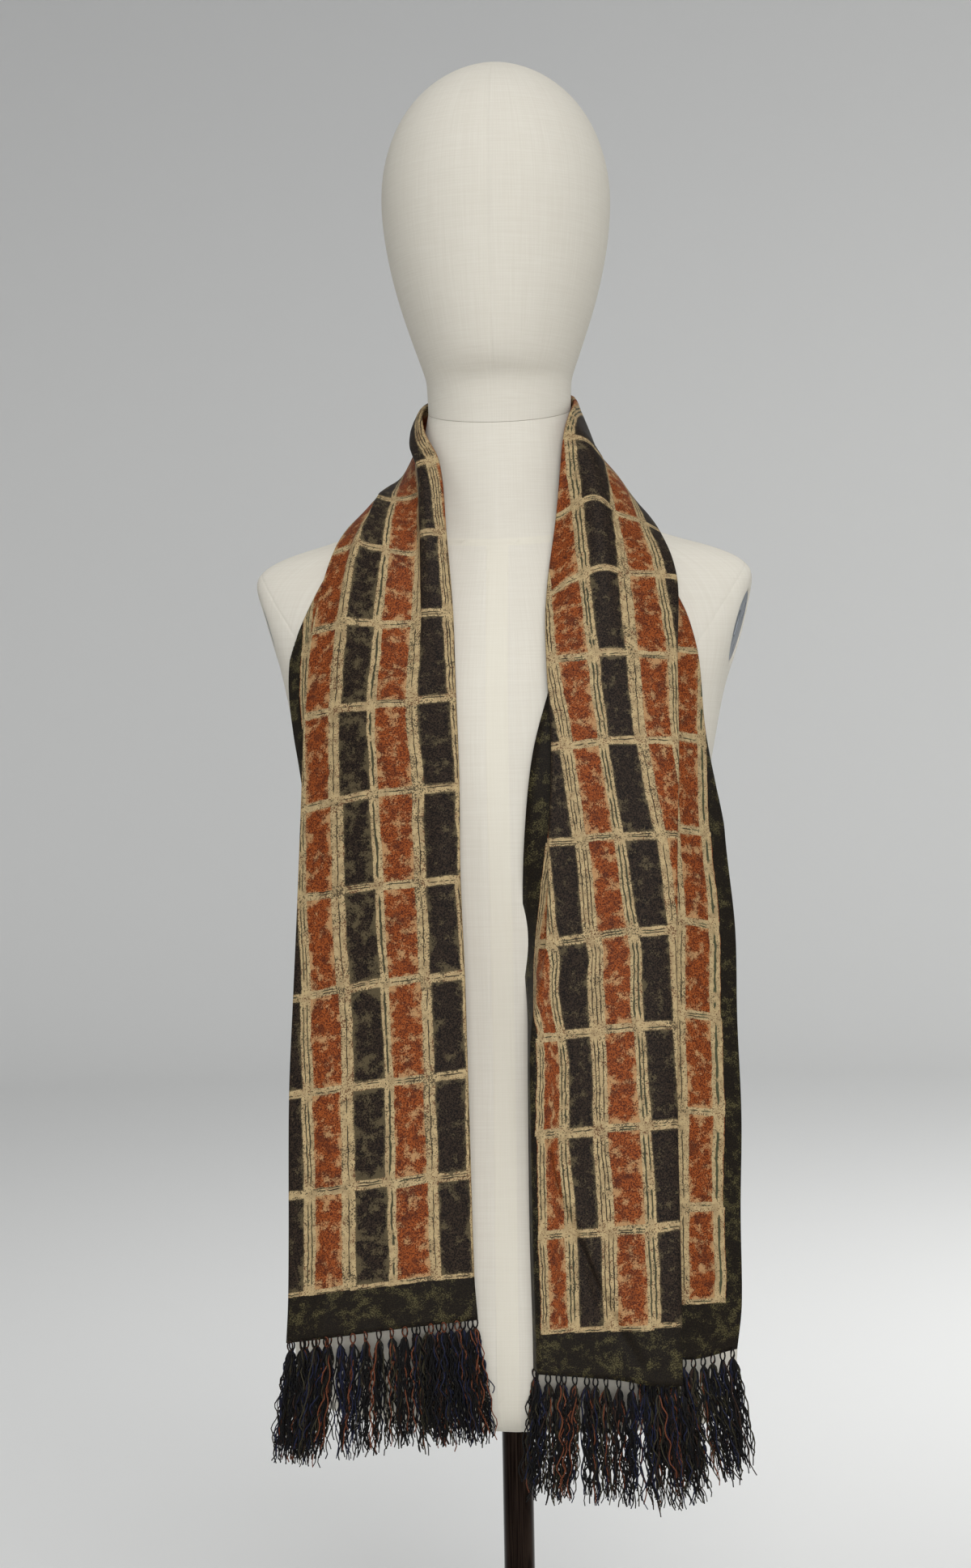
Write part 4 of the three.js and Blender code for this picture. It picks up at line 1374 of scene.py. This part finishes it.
# %% [markdown]
# The order is that of a printer: blocks first, then the tan bars over them, then lines and speckle,
# and the dark border last. Rust and dark blocks are two or three inks each, mixed by grain and worn
# patches. The finish is plain silk: a fine weave, a soft crumple and a low, even gloss.

# %% Silk: blocks, border and finish
FIELD = (17.6, 234, -1.8, LAST_CROSS * ROW_PITCH + 1.8)
SILK_THREAD = 0.28

odd_block = block - (block * 0.5).floor() * 2
block_edge = -in_tan
block_amount = is_near(block, 3) * (-right_end + 1) * 0.07 - odd_block * 0.03
paint = placed(tree, mottle, Place=layer(11), Edge=block_edge, Amount=block_amount)
deep = noise(tree, layer(12), 8, 3).ramp(0.48, 0.7)

rust = blend(tree, paint["Grain"].ramp(0.42, 0.56), RUST_DEEP, RUST)
rust = blend(tree, deep * 0.6, rust, RUST_DARK)
rust = blend(tree, paint["Patches"] * 0.74, rust, RUST_WORN)

dark = blend(tree, paint["Grain"].ramp(0.4, 0.62), CHARCOAL, CHARCOAL_WARM)
dark = blend(tree, paint["Patches"] * 0.62, dark, OLIVE)
dark = blend(tree, block_edge.ramp(1.5, 0) * 0.3, dark, OLIVE)
blocks = blend(tree, odd_block, rust, dark)

tan = blend(tree, noise(tree, layer(13), 6, 3).ramp(0.35, 0.7), TAN, TAN_DEEP)
dots = blend(tree, noise(tree, layer(14), 12, 1).ramp(0.48, 0.54), LINE_DARK, RUST_DEEP)
tan = blend(tree, speckle * 0.8, tan, dots)
pen = blend(tree, greenish, LINE_DARK, LINE_GREEN)
tan = blend(tree, line_share * 0.92, tan, pen)
field = blend(tree, tan_share, blocks, tan)

drawn_u = u + shift_u
drawn_v = v + shift_v
outside = (-drawn_u + FIELD[0]).most(drawn_u - FIELD[1])
outside = outside.most(-drawn_v + FIELD[2]).most(drawn_v - FIELD[3])
edge_paint = placed(tree, mottle, Place=layer(16), Edge=9, Amount=0.02)
border = blend(tree, edge_paint["Patches"] * 0.62, BORDER, BORDER_CLOUD)
border = blend(tree, edge_paint["Grain"].ramp(0.6, 0.44) * 0.8, border, CHARCOAL)
print_colour = blend(tree, (outside + ragged * 0.4).ramp(-0.25, 0.25), field, border)
feed(tree, silk_shader.inputs["Base Color"], print_colour)

silk_weave = placed(tree, weave, Place=joined(tree, u, v, 0), Thread=SILK_THREAD)
crumple = noise(tree, layer(20), 7, 3)
silk_height = silk_weave["Height"] * 0.05 + crumple * 0.5
set_bump(tree, silk_shader, silk_height, 0.35, 0.6 * MM)
feed(tree, silk_shader.inputs["Roughness"], crumple * 0.12 + 0.52)
silk_shader.inputs["Specular IOR Level"].default_value = 0.12
scarf.data.materials.append(silk)
print("silk nodes:", len(tree.nodes))

# %% [markdown]
# ## Linen
#
# The form's cover is natural linen: warm off-white, matt, with slubs both ways and a trace of
# handling. The raised seams carry two more layers of cloth, so they look a little lighter and
# warmer. That is a band of position on the piece, softened at its edges.

# %% Linen
LINEN = ink(229, 224, 212)
LINEN_DEEP = ink(222, 216, 203)
LINEN_SEAM = ink(234, 228, 210)
LINEN_THREAD = 0.55


def object_place(tree):
    """Places on the piece in millimetres."""
    node = tree.nodes.new("ShaderNodeTexCoord")
    return [part / MM for part in parted(tree, Signal(tree, node.outputs["Object"]))]


linen, tree, linen_shader = new_material("linen")
u, v = cloth_place(tree)
x, y, z = object_place(tree)
threads = placed(tree, weave, Place=joined(tree, u, v, 0), Thread=LINEN_THREAD)
soil = noise(tree, joined(tree, x, y, z), 60, 4, 0.55)
cover = blend(tree, threads["Slubs"].ramp(0.3, 0.72), LINEN_DEEP, LINEN)
cover = blend(tree, soil.ramp(0.45, 0.8) * 0.25, cover, LINEN_DEEP)
above_yoke = z - (y + 62) * 0.30 - 907
yoke = above_yoke.abs().ramp(3.2, 1.6) * x.abs().ramp(80, 70)
band = (x - 0.4).abs().ramp(8.6, 7.4) * y.ramp(0, -5) * above_yoke.ramp(0, -2)
cover = blend(tree, yoke.most(band) * 0.4, cover, LINEN_SEAM)
feed(tree, linen_shader.inputs["Base Color"], cover)
linen_shader.inputs["Roughness"].default_value = 0.85
linen_shader.inputs["Specular IOR Level"].default_value = 0.15
set_bump(tree, linen_shader, threads["Height"], 0.18, 0.1 * MM)
for piece in (head, torso):
    piece.data.materials.append(linen)
print("linen nodes:", len(tree.nodes))

# %% [markdown]
# ## Metal
#
# The pole is chrome whose dark brown tint is a painted reflection of a dark room, with fine marks
# that run along it. The base and the arm plates are brushed steel. All three share one brushed
# finish, with a direction, a tint and a roughness each.
# Stretched noise is enough for brushing: real scratches are too fine to model.

# %% Metals
MARK_SIZE = 0.8
MARK_STRETCH = 60
SMUDGE_SIZE = 14
SMUDGE_STRETCH = 3

brushed, given, leave = new_group(
    "brushed", [("Along", "number"), ("Across", "number"), ("Seed", "number")],
    [("Marks", "number"), ("Smudge", "number")])
fine_place = joined(brushed, given["Along"] / MARK_STRETCH, given["Across"], given["Seed"])
marks = noise(brushed, fine_place, MARK_SIZE, 3, 0.6)
soft_place = joined(brushed, given["Along"] / SMUDGE_STRETCH, given["Across"], given["Seed"] + 9)
smudge = noise(brushed, soft_place, SMUDGE_SIZE, 3, 0.6)
feed(brushed, leave.inputs["Marks"], marks)
feed(brushed, leave.inputs["Smudge"], smudge)


def metal(name, direction, light, deep, rough, bump):
    """A brushed metal; direction gives the places along and across its marks."""
    material, tree, shader = new_material(name)
    x, y, z = object_place(tree)
    along, across = direction(x, y, z)
    finish = placed(tree, brushed, Along=along, Across=across, Seed=3)
    tint = blend(tree, finish["Marks"].ramp(0.3, 0.7), deep, light)
    feed(tree, shader.inputs["Base Color"], tint)
    shader.inputs["Metallic"].default_value = 1
    feed(tree, shader.inputs["Roughness"], finish["Smudge"] * 0.16 + finish["Marks"] * 0.08 + rough)
    set_bump(tree, shader, finish["Marks"], bump, 0.05 * MM)
    return material


# Painted reflection: the pole's dark brown tint stands in for a dark room reflected in its chrome.
chrome_with_painted_dark_reflection = metal(
    "chrome_with_painted_dark_reflection", lambda x, y, z: (z, x - y), ink(50, 40, 34), ink(6, 4, 4), 0.0, 0.1)
base_steel = metal(
    "brushed_steel", lambda x, y, z: (0, (x * x + y * y).maths("SQRT")),
    ink(176, 178, 182), ink(146, 148, 153), 0.22, 0.1)
plate_steel = metal(
    "plate_steel", lambda x, y, z: (z, y), ink(150, 155, 162), ink(112, 117, 124), 0.34, 0.2)
for piece, material in ((pole, chrome_with_painted_dark_reflection), (base, base_steel)):
    piece.data.materials.append(material)
for label in ("left", "right"):
    bpy.data.objects[f"plate_{label}"].data.materials.append(plate_steel)
print("metals:", chrome_with_painted_dark_reflection.name, base_steel.name, plate_steel.name)

# %% [markdown]
# ## Yarn
#
# The yarns differ only in colour: near-black for more than half of them, with navy, rust, olive
# and brown between. A spun thread is a twist of paler and darker fibres, so a slanting wave and a
# little fuzz give both its colour and its bump.

# %% Yarns
YARN_COLOURS = {
    "yarn_black": (ink(19, 17, 17), ink(6, 5, 6)),
    "yarn_navy": (ink(38, 43, 72), ink(14, 16, 30)),
    "yarn_rust": (ink(142, 82, 54), ink(60, 30, 20)),
    "yarn_olive": (ink(70, 64, 45), ink(30, 28, 20)),
    "yarn_brown": (ink(62, 43, 33), ink(28, 20, 16)),
}
for material in yarns:
    light, deep = YARN_COLOURS[material.name]
    material.use_nodes = True
    tree = material.node_tree
    shader = tree.nodes["Principled BSDF"]
    x, y, z = object_place(tree)
    twist = ((z * 2.4 + x * 1.6 + y * 1.1) * math.pi).maths("SINE") * 0.5 + 0.5
    fuzz = noise(tree, joined(tree, x, y, z), 0.6, 2)
    fibres = (twist * 0.6 + fuzz * 0.5).ramp(0.2, 0.9)
    feed(tree, shader.inputs["Base Color"], blend(tree, fibres, deep, light))
    shader.inputs["Roughness"].default_value = 0.6
    shader.inputs["Specular IOR Level"].default_value = 0.2
    set_bump(tree, shader, twist + fuzz * 0.4, 0.4, 0.2 * MM)
print("materials:", len(bpy.data.materials))

# %% [markdown]
# ## Studio
#
# The form stands on a pale floor that sweeps up into a pale wall all round, so that it has the
# same quiet background from every side. A flat backdrop would be simpler, but it would run out
# when the form is seen from behind. Painted light in its colour makes it a little lighter low
# down and to one side.

# %% Floor and wall
FLOOR_RADIUS = 5.2
SWEEP_RADIUS = 1.8
SWEEP_STEPS = 12
WALL_TOP = 7
STUDIO_SIDES = 96


def studio_bowl():
    """A round floor that sweeps up into a wall."""
    bm = bmesh.new()
    profile = [(0.0, 0.0), (2.5, 0.0), (FLOOR_RADIUS, 0.0)]
    for k in range(1, SWEEP_STEPS + 1):
        a = math.pi / 2 * k / SWEEP_STEPS
        rise = SWEEP_RADIUS * (1 - math.cos(a))
        profile.append((FLOOR_RADIUS + SWEEP_RADIUS * math.sin(a), rise))
    profile.append((FLOOR_RADIUS + SWEEP_RADIUS, WALL_TOP))
    points = [bm.verts.new((r, 0, z)) for r, z in profile]
    edges = [bm.edges.new(pair) for pair in zip(points, points[1:])]
    bmesh.ops.spin(
        bm, geom=points + edges, cent=(0, 0, 0), axis=(0, 0, 1), angle=2 * math.pi,
        steps=STUDIO_SIDES, use_merge=True, use_duplicate=False)
    bmesh.ops.remove_doubles(bm, verts=bm.verts, dist=1e-5)
    bm.normal_update()
    for face in bm.faces:
        if face.normal.dot(Vector((0, 0, 3)) - face.calc_center_median()) < 0:
            face.normal_flip()
    return to_mesh("studio", bm)


studio = bpy.data.objects.new("studio", studio_bowl())
bpy.context.scene.collection.objects.link(studio)
studio.data.shade_smooth()

plaster, tree, shader = new_material("studio_paint_with_painted_light")
x, y, z = object_place(tree)
# Painted light: the wall's colour is made lighter low down and towards +x.
painted_wall_light = (z / 1000).ramp(4.5, 0.0) * 0.6 + (x / 1000).ramp(-3, 3) * 0.4
wall_colour = blend(tree, painted_wall_light, ink(212, 212, 212), ink(246, 246, 244))
feed(tree, shader.inputs["Base Color"], wall_colour)
shader.inputs["Roughness"].default_value = 0.95
shader.inputs["Specular IOR Level"].default_value = 0.1
studio.data.materials.append(plaster)
print("studio:", len(studio.data.polygons), "faces")

# %% [markdown]
# The light is that of a plain studio: a large soft key in front and above, a low one for the
# lower half of the form, a weak fill from the other side, a soft top light and one lamp that
# lightens the wall behind. The open top lets in an even glow. Area lamps give soft shadows, and
# none of them shows to the camera.

# %% Lights
LOW_SPREAD = 45
LIGHTS = (
    # name, place, aim, width, height, watts
    ("key", (0.8, -3.1, 3.4), (0, 0, 0.7), 1.8, 1.8, 58),
    ("low front", (0.25, -3.6, 0.8), (0, 0, 0.45), 1.2, 1.2, 3.0),
    ("fill", (-3.2, -2.6, 1.7), (0, 0, 0.8), 2.0, 2.0, 8),
    ("top", (0.2, -0.3, 3.6), (0, 0, 0.6), 2.4, 2.4, 8),
    ("backdrop", (1.8, 0.9, 2.4), (1.4, 5.0, 0.2), 2.0, 1.2, 62),
)
for name, place, aim, width, height, watts in LIGHTS:
    light = bpy.data.lights.new(name, "AREA")
    light.shape = "RECTANGLE"
    light.size = width
    light.size_y = height
    light.energy = watts
    light.spread = math.radians(LOW_SPREAD if name == "low front" else 180)
    lamp = bpy.data.objects.new(name, light)
    bpy.context.scene.collection.objects.link(lamp)
    lamp.location = place
    lamp.rotation_euler = (Vector(aim) - Vector(place)).to_track_quat("-Z", "Y").to_euler()
    lamp.visible_camera = False

world = bpy.data.worlds.new("studio_glow")
bpy.context.scene.world = world
world.use_nodes = True
world.node_tree.nodes["Background"].inputs["Color"].default_value = (0.96, 0.98, 1, 1)
world.node_tree.nodes["Background"].inputs["Strength"].default_value = 0.4
print("lights:", [row[0] for row in LIGHTS])

# %% [markdown]
# ## End
#
